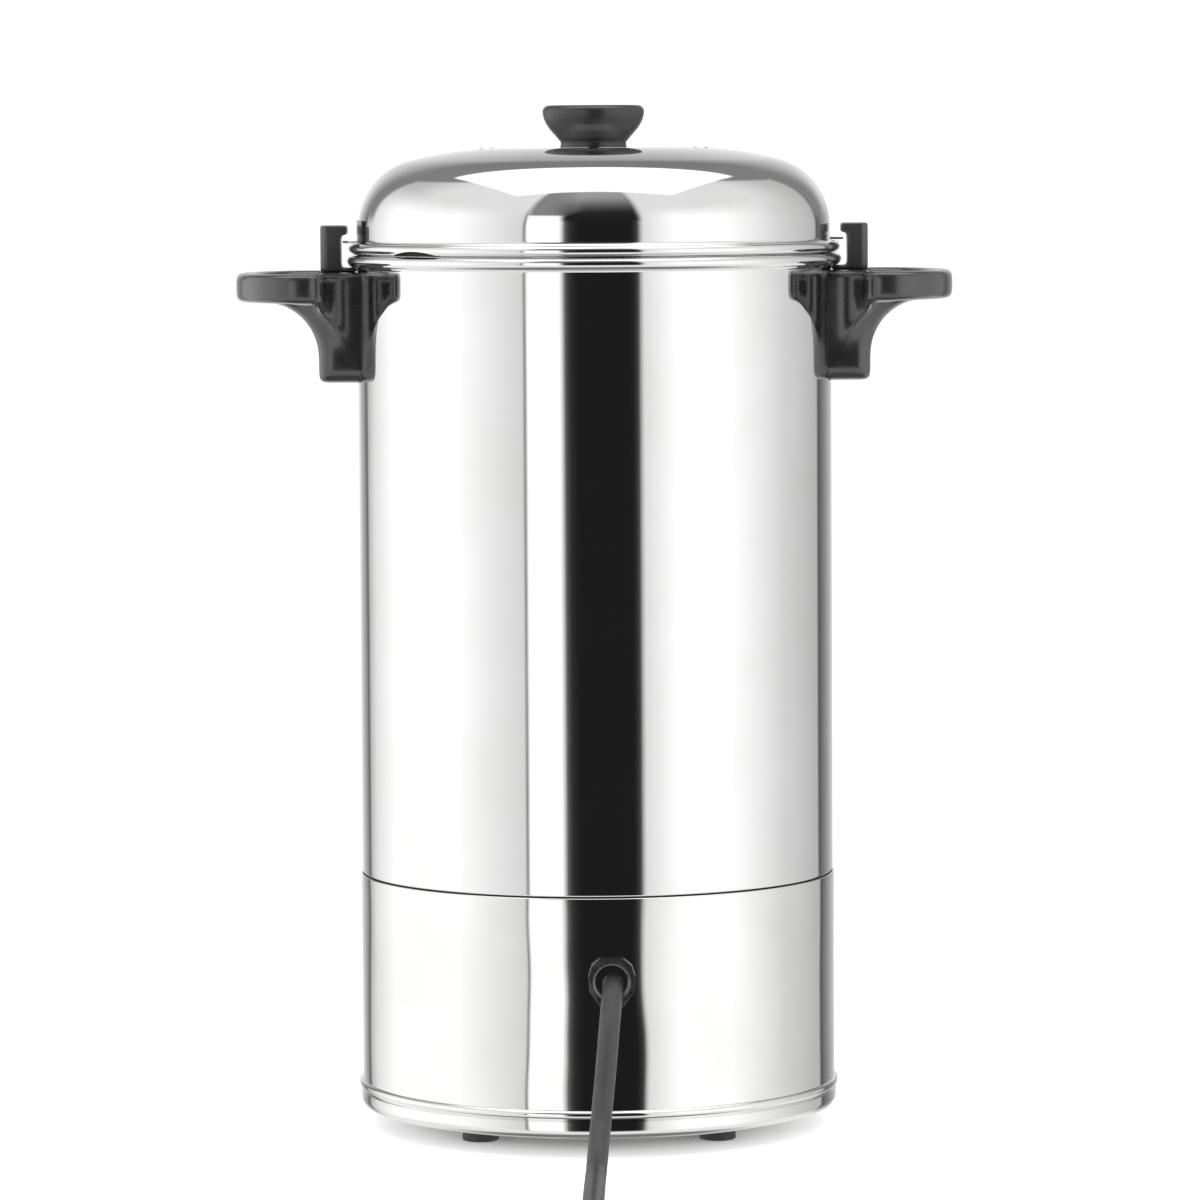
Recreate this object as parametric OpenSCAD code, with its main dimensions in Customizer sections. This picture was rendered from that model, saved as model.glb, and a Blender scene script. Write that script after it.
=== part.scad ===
// Percolating coffee urn: a single-wall polished steel tank on a steel base
// skirt, with a domed twist-lock lid, two moulded loop handles, a front tap
// with a sight gauge, and the brewing parts and heater that it holds inside.
// Frame: origin on the counter at the tank's axis, +Z up, the tap on the -Y
// side, the mains lead on the +Y side and the handles on the X axis.

/* [Tank] */
// Outside radius of the tank wall
tank_r = 116.9; // [100:0.1:135]
// Thickness of the tank's steel sheet
tank_wall = 0.8; // [0.6:0.1:1.2]
// Height from the tank's floor to the middle of its rolled rim
tank_depth = 309.1; // [280:0.1:360]
// Section radius of the bead rolled round the rim
rim_bead = 3; // [2.2:0.1:3.4]
// Radius of the bend between the tank's wall and floor
tank_bend = 6; // [3:0.5:6]
// Radius of the well that the pump stands in
well_r = 24; // [22:0.5:28]
// Depth of the well
well_depth = 10; // [6:0.5:14]
// How far the wall steps in where the skirt fits over it
joggle = 0.8; // [0.6:0.1:1.2]

/* [Base] */
// Height of the skirt's lip above the counter
base_h = 126; // [110:0.5:150]
// How far the skirt stands proud of the tank wall
skirt_proud = 0.6; // [0.5:0.1:1.2]
// Thickness of the skirt's steel sheet
skirt_wall = 0.8; // [0.6:0.1:1.2]
// Height of the folded lip round the top of the skirt
lip_h = 8; // [5:0.5:14]
// Height of the top of the base ring above the counter
ring_top = 23.6; // [20:0.1:30]
// How far the base ring's bead stands proud of the skirt
ring_proud = 1.7; // [1:0.1:3]
// Height of the bead round the top of the base ring
ring_bead_h = 4.6; // [3:0.1:6]
// Height of the rubber feet
foot_h = 9; // [7:0.5:14]
// Diameter of the rubber feet
foot_d = 18; // [14:0.5:26]
// Distance of each foot from the two centre lines
foot_place = 58; // [46:0.5:62]
// Thickness of the bottom plate
plate_t = 1; // [0.8:0.1:2]
// Diameter of the posts between the tank floor and the bottom plate
post_d = 9; // [7:0.5:12]
// Distance of the posts from the tank wall
post_in = 32.9; // [27:0.1:39]

/* [Lid] */
// Height of the dome above the middle of the lid's bead
dome_h = 49; // [42:0.5:60]
// Radius of the flat middle of the crown
crown_flat = 44; // [36:1:52]
// Radius of the curve round the flat middle
shoulder_r = 190; // [150:5:260]
// Radius of the bend between that curve and the side of the dome
dome_bend = 34; // [24:0.5:38]
// Thickness of the lid's steel sheet
lid_wall = 0.7; // [0.5:0.1:1]
// Section radius of the bead round the lid
lid_bead = 2.7; // [2.2:0.1:3.4]
// Width of the shallow notch under the lid's bead
notch_w = 34; // [20:0.5:40]
// Height of that notch
notch_h = 2.4; // [1:0.1:3]
// Direction of the notch, in degrees from the right-hand handle
notch_turn = 44; // [30:1:60]
// Diameter of the two steam vents
vent_d = 3.5; // [2:0.5:5]
// Distance of the steam vents from the axis
vent_place = 53; // [40:1:66]
// How far the tabs stand beside the hooks when the lid is unlocked, in degrees
unlock_turn = 10.5; // [10.3:0.1:14]
// Width of each lock tab
tab_w = 18; // [12:0.5:19]
// Thickness of the tabs' steel strip
tab_t = 1; // [0.8:0.1:1.4]

/* [Knob] */
// Height of the lid's knob
knob_h = 20.8; // [17:0.1:28]
// Widest diameter of the knob
knob_d = 50.2; // [42:0.2:60]
// Diameter of the knob's neck
knob_neck_d = 32.4; // [24:0.2:36]

/* [Handles] */
// Reach of each handle's grip from the tank wall
grip_reach = 60; // [55:0.1:72]
// Width of the grip along the tank
grip_w = 107; // [96:0.5:116]
// Thickness of the grip
grip_t = 14.4; // [11:0.1:18]
// Width of the bars round the finger hole
grip_bar = 10.8; // [9:0.1:12]
// Height of the whole handle, from the top of its grip down
handle_h = 54.2; // [48:0.1:66]
// How far the grip's top lies below the middle of the rim's bead
handle_drop = 5.5; // [5:0.1:12]
// Thickness of the mounting block, out from the tank wall
block_t = 18.8; // [17:0.1:20.5]
// Width of the mounting block along the tank
block_w = 50; // [44:0.5:54]
// Bevel on the block's outer and lower edges
block_bevel = 5.5; // [3:0.1:7]
// Radius of the curve under the grip
gusset_r = 27; // [24:0.5:29]
// Width of the hook that holds the lid down
hook_w = 16; // [10:0.5:16.5]
// Thickness of the hook's arm
hook_t = 4.7; // [3.5:0.1:6]
// Thickness of the hook's post, out from the tank
hook_post_t = 10.2; // [8:0.1:11]

/* [Tap] */
// Height of the tap's shank above the tank floor
tap_up = 22; // [18:0.5:30]
// Distance of the tap's valve from the tank wall
tap_reach = 47; // [47:0.5:60]
// Diameter of the valve chamber's outside
valve_d = 30; // [28:0.5:36]
// Bore of the valve chamber
chamber_d = 22; // [20:0.5:24]
// Bore of the shank and the spout
flow_d = 11; // [8:0.5:13]
// Diameter of the shank where it passes through the tank
shank_d = 16; // [15:0.5:18]
// Length of the spout below the valve seat
spout_l = 14; // [10:0.5:30]
// Diameter of the valve stem
stem_d = 6; // [5:0.5:7]
// Lift of the valve stem when the tap is open
valve_lift = 3.5; // [2:0.1:5]
// Length of the tap's lever from its pivot
lever_l = 50; // [40:0.5:64]
// Diameter of the lever's pivot pin
pin_d = 3; // [2.5:0.1:3.5]

/* [Gauge] */
// Outside diameter of the sight glass
glass_d = 12; // [10:0.5:13]
// Wall of the sight glass
glass_wall = 1.5; // [1:0.1:2.5]
// Distance of the sight glass from the tank wall
glass_out = 19; // [17:0.5:20]
// How far the sight glass's top end lies below the middle of the rim's bead
glass_drop = 38.1; // [32:0.1:80]
// Thickness of the gauge guard's steel
guard_t = 1.2; // [0.8:0.1:1.6]
// Width of the window in the guard
window_w = 8; // [5:0.5:10]

/* [Brewing parts] */
// Outside diameter of the pump tube
pump_d = 11; // [9:0.5:13]
// Wall of the pump tube
pump_wall = 1.2; // [0.8:0.1:1.6]
// Height of the pump tube above the tank floor
pump_h = 304; // [285:1:306]
// How far the basket's floor lies below the top of the pump tube
basket_drop = 94; // [86:1:150]
// Radius of the basket
basket_r = 68; // [58:0.5:80]
// Height of the basket
basket_h = 72; // [50:1:76]
// Thickness of the basket's and cover's sheet
basket_wall = 0.8; // [0.6:0.1:1.2]
// Diameter of the holes in the basket and its cover
brew_hole_d = 3; // [2:0.1:3.5]

/* [Controls] */
// Height of the switch and lamps above the counter
control_z = 72; // [62:0.5:84]
// Direction of the switch, in degrees round from the tap
switch_turn = 32; // [28:1:44]
// Direction of the lamps, in degrees round from the tap
lamp_turn = 32; // [28:1:44]
// Distance between the two lamps
lamp_gap = 24; // [18:0.5:30]
// Diameter of each lamp's lens
lens_d = 8.4; // [6:0.2:9]
// Turn of the rocker between off and on, in degrees
rocker_turn = 16; // [12:1:18]
// Travel of the reset button
reset_travel = 1.5; // [1:0.1:2]

/* [Heater] */
// Radius of the brewing element's ring
heater_ring = 34; // [32:0.5:38]
// Section radius of the brewing element
heater_rod = 4; // [3:0.1:5]
// How far the keep-warm element's ring lies inside the posts
warm_in = 8.5; // [8.5:0.5:12]
// Section radius of the keep-warm element
warm_rod = 3; // [2.5:0.1:3.5]

/* [Mains lead] */
// Width of the gland's collar
gland_w = 22.5; // [20:0.5:26]
// Height of the gland's collar
gland_h = 24; // [21.5:0.5:28]
// How far the collar stands out of the skirt
gland_out = 5.5; // [4:0.5:8]
// Diameter of the mains lead
cord_d = 10; // [8:0.5:11]

/* [Hidden] */
$fn = 96;

// Clearances: seat between fixed curved faces, run for a shaft in a hole,
// drill for a screw in its hole
seat = 0.15;
run = 0.06;
drill = 0.2;
eps = 0.01;

// Heights that everything else is placed from
tank_sink = 6;
floor_z = base_h - tank_sink;
floor_under = floor_z - tank_wall;
rim_z = floor_z + tank_depth;
well_z = floor_z - well_depth;
tank_in = tank_r - tank_wall;
rim_ring = tank_in + rim_bead;
joggle_r = tank_r - joggle;
rim_curl = 110;
seam_gap = 1.2;

skirt_r = tank_r + skirt_proud;
skirt_in = skirt_r - skirt_wall;
ring_r = skirt_r + ring_proud;
plate_z = foot_h;
plate_top = plate_z + plate_t;
ring_sheet = 1;
ring_floor_top = plate_top + ring_sheet;
ring_floor_in = tank_r - 14;
plate_r = tank_r - 5;
post_place = tank_r - post_in;
post_turns = [0, 90, 180, 270];
post_bore = 15;
base_screw_l = 12;
screw_r = 2;
screw_head_r = 4;
screw_head_h = 2.4;

lid_gap = 0.3;
lid_z = rim_z + rim_bead + lid_gap + lid_bead;
lid_inset = 0.6;
lid_r = tank_r - lid_inset;
lid_ring = lid_r - lid_wall / 2 + lid_bead;
crown_z = lid_z + dome_h;
collar_wall = 0.7;
collar_r = lid_r - lid_wall - seat;
collar_up = 9;
collar_down = 12;
tab_z = lid_z + lid_bead + 0.4;
tab_foot_r = lid_r + seat;
tab_up = 11;
tab_r = lid_ring + lid_bead + 3;

grip_z = rim_z - handle_drop;
grip_r = tank_r + grip_reach;
block_r = tank_r + block_t;
grip_mid_r = block_r + 7;
hole_wall_r = block_r + 0.6;
flare_r = 14;
web_r = 27;
web_drop = 22;
web_side_r = (grip_w - block_w) / 2;
finger_dip = 10;
hook_in = lid_ring + lid_bead + 0.4;
hook_post_in = tab_r + 0.5;
hook_post_out = hook_post_in + hook_post_t;
hook_arm_z = tab_z + tab_t + 2.7;
hook_pad_t = 2.2;
hook_tongue = [7, 9, 11];
handle_screw_r = 2.4;
handle_screw_drops = [22, 42];
handle_bore_depth = 12;
handle_washer_r = 6.5;

tap_z = floor_z + tap_up;
shank_in = 14;
shank_shoulder = 5;
flange_r = 15;
flange_t = 3;
tap_y = -(tank_r + tap_reach);
seat_z = tap_z - 15;
chamber_top = tap_z + 17;
spout_end = seat_z - 4 - spout_l;
bonnet_h = 15;
bonnet_top = chamber_top + bonnet_h;
cup_h = 9;
cup_r = 8;
heel = 6.6;
heel_gap = 0.15;
pivot_z = bonnet_top + heel + heel_gap;
lever_turn = 40;
lever_lean = 62;
spring_mean_r = 6;
spring_wire = 0.7;
spring_turns = 5;
bonnet_recess = 9;
spring_z0 = seat_z + cup_h;
spring_z1 = chamber_top + bonnet_recess;

glass_y = -(tank_r + glass_out);
boss_r = glass_d / 2 + 3.5;
boss_top = tap_z + 19;
glass_z0 = tap_z + 9;
glass_z1 = rim_z - glass_drop;
guard_r = glass_d / 2 + 4.2;
guard_z0 = boss_top + 0.1;
cap_z0 = glass_z1 - 14;
cap_h = 20;
cap_r = guard_r + 1.4;
cap_bolt_z = cap_z0 + 10;

switch_az = -90 + switch_turn;
lamp_az = -90 - lamp_turn;
housing_w = 18;
housing_h = 27;
housing_lip = 3;
housing_wall = 1.6;
rocker_pivot_r = skirt_r - 1;
rocker_w = housing_w - 2 * housing_wall - 0.4;
rocker_half = 10.3;
rocker_pin_r = 1.4;

basket_up = pump_h - basket_drop;

cutout_place = [-30, -44];
cutout_size = [24, 18, 26];
warm_ring = post_place - warm_in;
terminal_r = 1.6;
terminal_gap = 7;
terminal_l = 18;
thermostat_r = 7.7;
thermostat_flange_r = 8.5;
thermostat_h = 9;
thermostat_turn = -40;
reset_r = 3.2;
bulb_r = 3;
bulb_l = 28;
bulb_y = cutout_place[1] - 2;
bulb_x = cutout_place[0] - 5;
bulb_drop = 3.1;
capillary_r = 0.9;
block_place = [-26, 64];
block_size = [40, 16, 14];

gland_x = -6.5;
gland_z = 86;
gland_y = sqrt(pow(skirt_r, 2) - pow(gland_x, 2));
gland_mouth = gland_y + gland_out;
gland_barrel_r = 8.6;
throat_y = 106;

// Route of the mains lead from the gland's throat to the coil, on the counter
cord_route = [
  [-7, 106, 86], [-7, 112, 86], [-7, 119, 84.4], [-6.7, 126, 81.2], [-6.1, 133, 76],
  [-5.4, 139, 69.2], [-4.6, 144, 61], [-3.7, 148.5, 51.5], [-2.7, 153, 41.5], [-1.6, 158.5, 31.5],
  [-0.5, 166, 21.5], [0.5, 176, 13.2], [1.2, 188, 7.8], [1.7, 201, 5.5], [2, 216, 5.2],
  [2.3, 234, 5.2], [2.6, 255, 5.2], [3, 280, 5.2], [2.6, 306, 5.2], [1.4, 334, 5.2],
  [-0.2, 361, 5.2], [-1.6, 386, 5.2], [-2.2, 410, 5.2]
];
coil_middle = [57.5, 433, 0];
coil_ring = 55;
coil_turns_wide = 2;
coil_turns_high = 2;
// The lead's last stretch, from the coil's top layer to the plug
tail_route = [[66, 492.6, 15.2], [76, 493, 15.6], [87, 493.2, 16.8], [99, 493.2, 18.4], [110, 493.2, 19]];
plug_at = [110, 493.2, 19];
plug_taper_l = 26;
plug_body_l = 34;
plug_r = 18.6;
plug_pin_r = 2.4;
plug_pin_l = 19;
plug_pin_gap = 19;

function arc(c, r, a0, a1, n = 8) =
  [for (i = [0:n]) c + r * [cos(a0 + (a1 - a0) * i / n), sin(a0 + (a1 - a0) * i / n)]];
function unit(v) = v / norm(v);

// A ring between two radii and two heights
module ring(r_in, r_out, z0, z1, sides = $fn) {
  translate([0, 0, z0])
    difference() {
      cylinder(r = r_out, h = z1 - z0, $fn = sides);
      translate([0, 0, -1]) cylinder(r = r_in, h = z1 - z0 + 2, $fn = sides);
    }
}

// Children stand at a direction and height, with +X pointing out from the axis
module facing(turn, z = 0) {
  rotate([0, 0, turn]) translate([0, 0, z]) children();
}

// A cylinder along +X from x0 to x1
module rod_x(r, x0, x1, y = 0, z = 0) {
  translate([x0, y, z]) rotate([0, 90, 0]) cylinder(r = r, h = x1 - x0);
}

// A cylinder along +Y from y0 to y1
module rod_y(r, y0, y1, x = 0, z = 0) {
  translate([x, y0, z]) rotate([-90, 0, 0]) cylinder(r = r, h = y1 - y0);
}

// A tube swept along a list of points, closed at both ends. Its path must
// never run along the level direction
module sweep(route, r, sides = 8, level = [1, 0, 0]) {
  n = len(route);
  along = [for (i = [0:n - 1]) unit(route[min(i + 1, n - 1)] - route[max(i - 1, 0)])];
  side = [for (t = along) unit(cross(t, level))];
  rings = [
    for (i = [0:n - 1])
      for (k = [0:sides - 1])
        let (a = 360 * k / sides)
          route[i] + r * (cos(a) * side[i] + sin(a) * cross(along[i], side[i]))
  ];
  walls = [
    for (i = [0:n - 2])
      for (k = [0:sides - 1])
        let (a = i * sides + k, b = i * sides + (k + 1) % sides)
          for (face = [[a, a + sides, b + sides], [a, b + sides, b]])
            face
  ];
  polyhedron(
    points = rings,
    faces = concat(
      [[for (k = [0:sides - 1]) k]],
      walls,
      [[for (k = [sides - 1:-1:0]) (n - 1) * sides + k]]
    ),
    convexity = 10
  );
}

// A pan-head screw along -Z: its head on top, its shank from z = 0 down
module pan_screw(r, head_r, head_h, length) {
  translate([0, 0, -length]) cylinder(r = r, h = length + eps);
  difference() {
    cylinder(r = head_r, h = head_h);
    translate([0, 0, head_h - 1]) rotate([0, 0, 45]) cube([head_r * 1.1, 1, 2.2], center = true);
    translate([0, 0, head_h - 1]) rotate([0, 0, 135]) cube([head_r * 1.1, 1, 2.2], center = true);
  }
}

// ---- Tank ----------------------------------------------------------------

module tank_profile() {
  b = tank_bend;
  w = tank_wall;
  polygon(concat(
    [[0, well_z], [well_r - 4, well_z]],
    [[well_r, well_z + 4], [well_r, floor_z - 1.5], [well_r + 1.5, floor_z]],
    arc([tank_in - joggle - b, floor_z + b], b, -90, 0),
    [[tank_in - joggle, base_h + seam_gap], [tank_in, base_h + seam_gap + joggle]],
    arc([rim_ring, rim_z], rim_bead, 180, -rim_curl, 22),
    [[tank_r, rim_z - rim_bead - 0.3]],
    [[tank_r, base_h + seam_gap], [joggle_r, base_h + seam_gap]],
    arc([tank_in - joggle - b, floor_z + b], b + w, 0, -90),
    [[well_r + w + 1, floor_under], [well_r + w, floor_under - 1]],
    [[well_r + w, well_z + 3], [well_r - 3, well_z - w], [0, well_z - w]]
  ));
}

module tank() {
  color("#c9ccce")
    difference() {
      rotate_extrude($fn = 180) tank_profile();
      for (turn = [0, 180])
        for (drop = handle_screw_drops)
          facing(turn, grip_z - drop) rod_x(handle_screw_r + drill, tank_in - 6, tank_r + 6);
      rod_y(shank_d / 2 + drill, -tank_r - 6, -tank_in + 6, z = tap_z);
      rod_y(screw_r + drill, -tank_r - 6, -tank_in + 6, z = cap_bolt_z);
    }
}

// ---- Base ----------------------------------------------------------------

module base_skirt() {
  color("#c4c7c9")
    difference() {
      union() {
        ring(skirt_in, skirt_r, ring_top, base_h - 0.4);
        ring(joggle_r + seat, skirt_r - 0.3, base_h - lip_h, base_h);
      }
      rod_y(gland_barrel_r + drill, skirt_r - 20, skirt_r + 5, x = gland_x, z = gland_z);
      facing(switch_az, control_z)
        translate([skirt_r, 0, 0])
          cube([20, housing_w + 2 * drill, housing_h + 2 * drill], center = true);
      for (side = [-1, 1])
        facing(lamp_az, control_z + side * lamp_gap / 2)
          rod_x(lens_d / 2 + 0.8 + drill, skirt_r - 12, skirt_r + 5);
    }
}

// The formed ring under the skirt: a half-round bead, a band that curves in
// below it, a floor that the bottom plate is pulled up against, and an
// upstand inside the skirt
module base_ring() {
  band_r = ring_r - 0.9;
  bead_z = ring_top - ring_bead_h / 2;
  band_z = ring_top - ring_bead_h;
  color("#c9ccce")
    rotate_extrude($fn = 180)
      polygon(concat(
        [[skirt_in - seat, ring_top + 7], [skirt_in - seat, ring_top], [skirt_r, ring_top]],
        arc([ring_r - ring_bead_h / 2, bead_z], ring_bead_h / 2, 70, -70, 8),
        [[band_r - 0.8, band_z - 0.1], [band_r, band_z - 0.7]],
        arc([band_r - 8, plate_top + 6], 8, 0, -49, 6),
        [[band_r - 5, plate_top], [ring_floor_in, plate_top], [ring_floor_in, ring_floor_top]],
        [[band_r - 5.4, ring_floor_top], [band_r - 2.4, plate_top + 2.6]],
        [[band_r - 1.6, plate_top + 5], [band_r - 2.4, band_z - 1]],
        [[skirt_in - seat - ring_sheet, band_z + 1], [skirt_in - seat - ring_sheet, ring_top + 7]]
      ));
}

module bottom_plate() {
  color("#8e9193")
    difference() {
      translate([0, 0, plate_z]) cylinder(r = plate_r, h = plate_t, $fn = 180);
      for (turn = post_turns)
        facing(turn) translate([post_place, 0, 0]) cylinder(r = screw_r + drill, h = 40);
      for (x = [-foot_place, foot_place], y = [-foot_place, foot_place])
        translate([x, y, 0]) cylinder(r = screw_r + drill, h = 40);
      translate([cutout_place[0], cutout_place[1], 0]) cylinder(r = reset_r + 0.8, h = 40);
      for (r = [10, 22])
        for (turn = [0:360 / (r / 2):359])
          facing(turn) translate([r, 0, 0]) cylinder(r = 2.2, h = 40, $fn = 24);
    }
}

module feet() {
  color("#1d1d1e")
    for (x = [-foot_place, foot_place], y = [-foot_place, foot_place])
      translate([x, y, 0])
        rotate_extrude($fn = 64)
          polygon([
            [3.6, 0], [foot_d / 2 - 0.6, 0], [foot_d / 2, 0.8], [foot_d / 2 - 0.7, foot_h - 0.8],
            [foot_d / 2 - 1.2, foot_h], [screw_r + drill, foot_h], [screw_r + drill, 4.4],
            [4.6, 4.4], [4.6, 0.6]
          ]);
}

module foot_screws() {
  color("#a8abad")
    for (x = [-foot_place, foot_place], y = [-foot_place, foot_place]) {
      translate([x, y, 4.4]) rotate([180, 0, 0]) pan_screw(screw_r, screw_head_r, 2, foot_h);
    }
}

module foot_nuts() {
  color("#a8abad")
    for (x = [-foot_place, foot_place], y = [-foot_place, foot_place])
      translate([x, y, plate_top])
        difference() {
          cylinder(r = 4, h = 3, $fn = 6);
          translate([0, 0, -1]) cylinder(r = screw_r + run, h = 5);
        }
}

module base_posts() {
  color("#b5b8ba")
    for (turn = post_turns)
      facing(turn)
        translate([post_place, 0, plate_top])
          difference() {
            cylinder(r = post_d / 2, h = floor_under - plate_top, $fn = 6);
            translate([0, 0, -1]) cylinder(r = screw_r + run, h = post_bore);
          }
}

module base_screws() {
  color("#a8abad")
    for (turn = post_turns)
      facing(turn)
        translate([post_place, 0, plate_z]) rotate([180, 0, 0])
          pan_screw(screw_r, screw_head_r, screw_head_h, base_screw_l);
}

// ---- Handles -------------------------------------------------------------

// Outline of the grip from above: a D-shaped loop that flares in to the block
module grip_outline() {
  e = [grip_r - grip_mid_r, grip_w / 2];
  half = concat(
    [for (t = [0:6:90]) [grip_mid_r + e[0] * cos(t), e[1] * sin(t)]],
    arc([block_r + 4, e[1] - 8], 8, 90, 180, 5),
    arc([block_r - 4 - flare_r, block_w / 2 + flare_r], flare_r, 0, -90, 6),
    [[tank_in - 8, block_w / 2]]
  );
  other = [for (i = [len(half) - 1:-1:1]) [half[i][0], -half[i][1]]];
  polygon(concat(half, other));
}

// Outline of the finger hole in the loop
module finger_outline() {
  e = [grip_r - grip_mid_r - grip_bar, grip_w / 2 - grip_bar];
  half = concat(
    [for (t = [0:6:90]) [grip_mid_r + e[0] * cos(t), e[1] * sin(t)]],
    arc([hole_wall_r + 4, e[1] - 4], 4, 90, 180, 4)
  );
  other = [for (i = [len(half) - 1:-1:1]) [half[i][0], -half[i][1]]];
  polygon(concat(half, other));
}

// Side outline of the block and the curved gusset under the grip
module gusset_side(bevel) {
  x = block_r - bevel;
  z = grip_z - grip_t;
  low = grip_z - handle_h + bevel;
  polygon(concat(
    [[tank_in - 8, low], [x, low]],
    arc([block_r + gusset_r, z - gusset_r], gusset_r + bevel, 180, 90, 12),
    [[block_r + gusset_r, grip_z - 4], [tank_in - 8, grip_z - 4]]
  ));
}

// One handle on the +X side
module handle() {
  difference() {
    union() {
      translate([0, 0, grip_z - grip_t])
        linear_extrude(grip_t) grip_outline();
      // flared webs between the loop and the block, cut back by a curve
      difference() {
        translate([0, 0, grip_z - grip_t - web_drop])
          linear_extrude(web_drop + 2)
            intersection() {
              grip_outline();
              translate([tank_in - 8, -grip_w / 2]) square([block_r + 12 - tank_in + 8, grip_w]);
            }
        translate([block_r + web_r * 0.57, grip_w, grip_z - grip_t - web_r])
          rotate([90, 0, 0]) cylinder(r = web_r, h = 2 * grip_w);
        // and narrowed downwards to the block's width
        for (side = [-1, 1])
          translate([0, side * (block_w / 2 + web_side_r), grip_z - grip_t - web_side_r])
            rotate([0, 90, 0]) cylinder(r = web_side_r, h = grip_r);
      }
      // block and gusset: a bevelled core between two stepped sides
      for (s = [0:3]) {
        bevel = block_bevel * (1 - cos(s * 30));
        half = block_w / 2 - block_bevel * (1 - sin(s * 30));
        translate([0, half, 0]) rotate([90, 0, 0]) linear_extrude(2 * half) gusset_side(bevel);
      }
    }
    // the finger hole goes through the grip on each side of the gusset
    translate([0, 0, grip_z - grip_t - web_drop - 1]) linear_extrude(grip_t + web_drop + 2)
      difference() {
        finger_outline();
        translate([0, -block_w / 2]) square([grip_r, block_w]);
      }
    translate([0, 0, grip_z - finger_dip]) linear_extrude(finger_dip + 4) finger_outline();
    translate([0, 0, grip_z - handle_h - 1]) cylinder(r = tank_r + seat, h = handle_h + 2, $fn = 180);
    for (drop = handle_screw_drops)
      rod_x(handle_screw_r + run, tank_r - 5, tank_r + handle_bore_depth, z = grip_z - drop);
    translate([hook_post_in + 2 - seat, -hook_tongue[1] / 2 - seat, grip_z - hook_tongue[2] - seat])
      cube([hook_tongue[0] + 2 * seat, hook_tongue[1] + 2 * seat, hook_tongue[2] + 1]);
  }
}

module handle_right() {
  color("#2b2b2d") handle();
}

module handle_left() {
  color("#2b2b2d") rotate([0, 0, 180]) handle();
}

// A C-shaped hook: pad, post and arm, with a tongue let into the block
module lid_hook() {
  w = hook_w;
  difference() {
    union() {
      translate([tank_r - 3, -w / 2, grip_z]) cube([hook_post_out - tank_r + 3, w, hook_pad_t]);
      translate([hook_post_in, -w / 2, grip_z])
        cube([hook_post_t, w, hook_arm_z + hook_t - grip_z]);
      translate([hook_in, -w / 2, hook_arm_z])
        cube([hook_post_out - hook_in, w, hook_t]);
      translate([hook_post_in + 2, -hook_tongue[1] / 2, grip_z - hook_tongue[2]])
        cube([hook_tongue[0], hook_tongue[1], hook_tongue[2] + 1]);
    }
    translate([0, 0, grip_z - 1]) cylinder(r = tank_r + seat, h = hook_pad_t + 1.4, $fn = 180);
    // rounded outer edges of the post
    for (side = [-1, 1])
      translate([hook_post_out, side * w / 2, grip_z - eps])
        rotate([0, 0, 45]) cube([3.4, 3.4, 2 * handle_h], center = true);
  }
}

module lid_hooks() {
  color("#2b2b2d") {
    lid_hook();
    rotate([0, 0, 180]) lid_hook();
  }
}

module handle_screws() {
  color("#b5b8ba")
    for (turn = [0, 180])
      for (drop = handle_screw_drops)
        facing(turn, grip_z - drop)
          translate([tank_in - seat - 1.6, 0, 0]) rotate([0, -90, 0])
            pan_screw(handle_screw_r, 4.6, 2.8, handle_bore_depth + 1);
}

module handle_washers() {
  color("#d8d8d4")
    for (turn = [0, 180])
      for (drop = handle_screw_drops)
        facing(turn, grip_z - drop)
          difference() {
            rod_x(handle_washer_r, tank_in - seat - 1.6, tank_in + 1);
            rod_x(handle_screw_r + run, tank_in - 6, tank_in + 6);
            ring(tank_in - seat, 2 * tank_r, -2 * handle_washer_r, 2 * handle_washer_r, 180);
          }
}

// ---- Lid -----------------------------------------------------------------

// Outer line of the dome, moved inwards by t: the flat middle, the curve round
// it, the bend and the side
function dome_line(t) =
  let (
    low = crown_z - shoulder_r,
    reach = shoulder_r - dome_bend,
    lean = asin((lid_r - dome_bend - crown_flat) / reach),
    bend = [lid_r - dome_bend, low + reach * cos(lean)]
  )
    concat(
      [[0, crown_z - t]],
      arc([crown_flat, low], shoulder_r - t, 90, 90 - lean, 6),
      [for (i = [1:12]) let (a = (90 - lean) * (1 - i / 12)) bend + (dome_bend - t) * [cos(a), sin(a)]],
      [[lid_r - t, lid_z + lid_bead]]
    );

module lid_dome() {
  notch_r = (pow(notch_w / 2, 2) + pow(notch_h, 2)) / (2 * notch_h);
  bead = arc([lid_ring, lid_z], lid_bead, 115, -165, 22);
  inner = dome_line(lid_wall);
  color("#c9ccce")
    difference() {
      rotate_extrude($fn = 180)
        polygon(concat(dome_line(0), bead, [for (i = [len(inner) - 1:-1:0]) inner[i]]));
      translate([0, 0, crown_z - 20]) cylinder(r = screw_r + 0.7, h = 40);
      for (side = [-1, 1])
        translate([side * vent_place, 0, crown_z - 20]) cylinder(r = vent_d / 2, h = 40, $fn = 32);
      facing(notch_turn)
        translate([lid_ring - 0.4, 0, lid_z - lid_bead + notch_h - notch_r]) rotate([0, 90, 0])
          cylinder(r = notch_r, h = 10, $fn = 180);
    }
}

module lid_collar() {
  color("#bfc2c4") ring(collar_r - collar_wall, collar_r, lid_z - collar_down, lid_z + collar_up);
}

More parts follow.
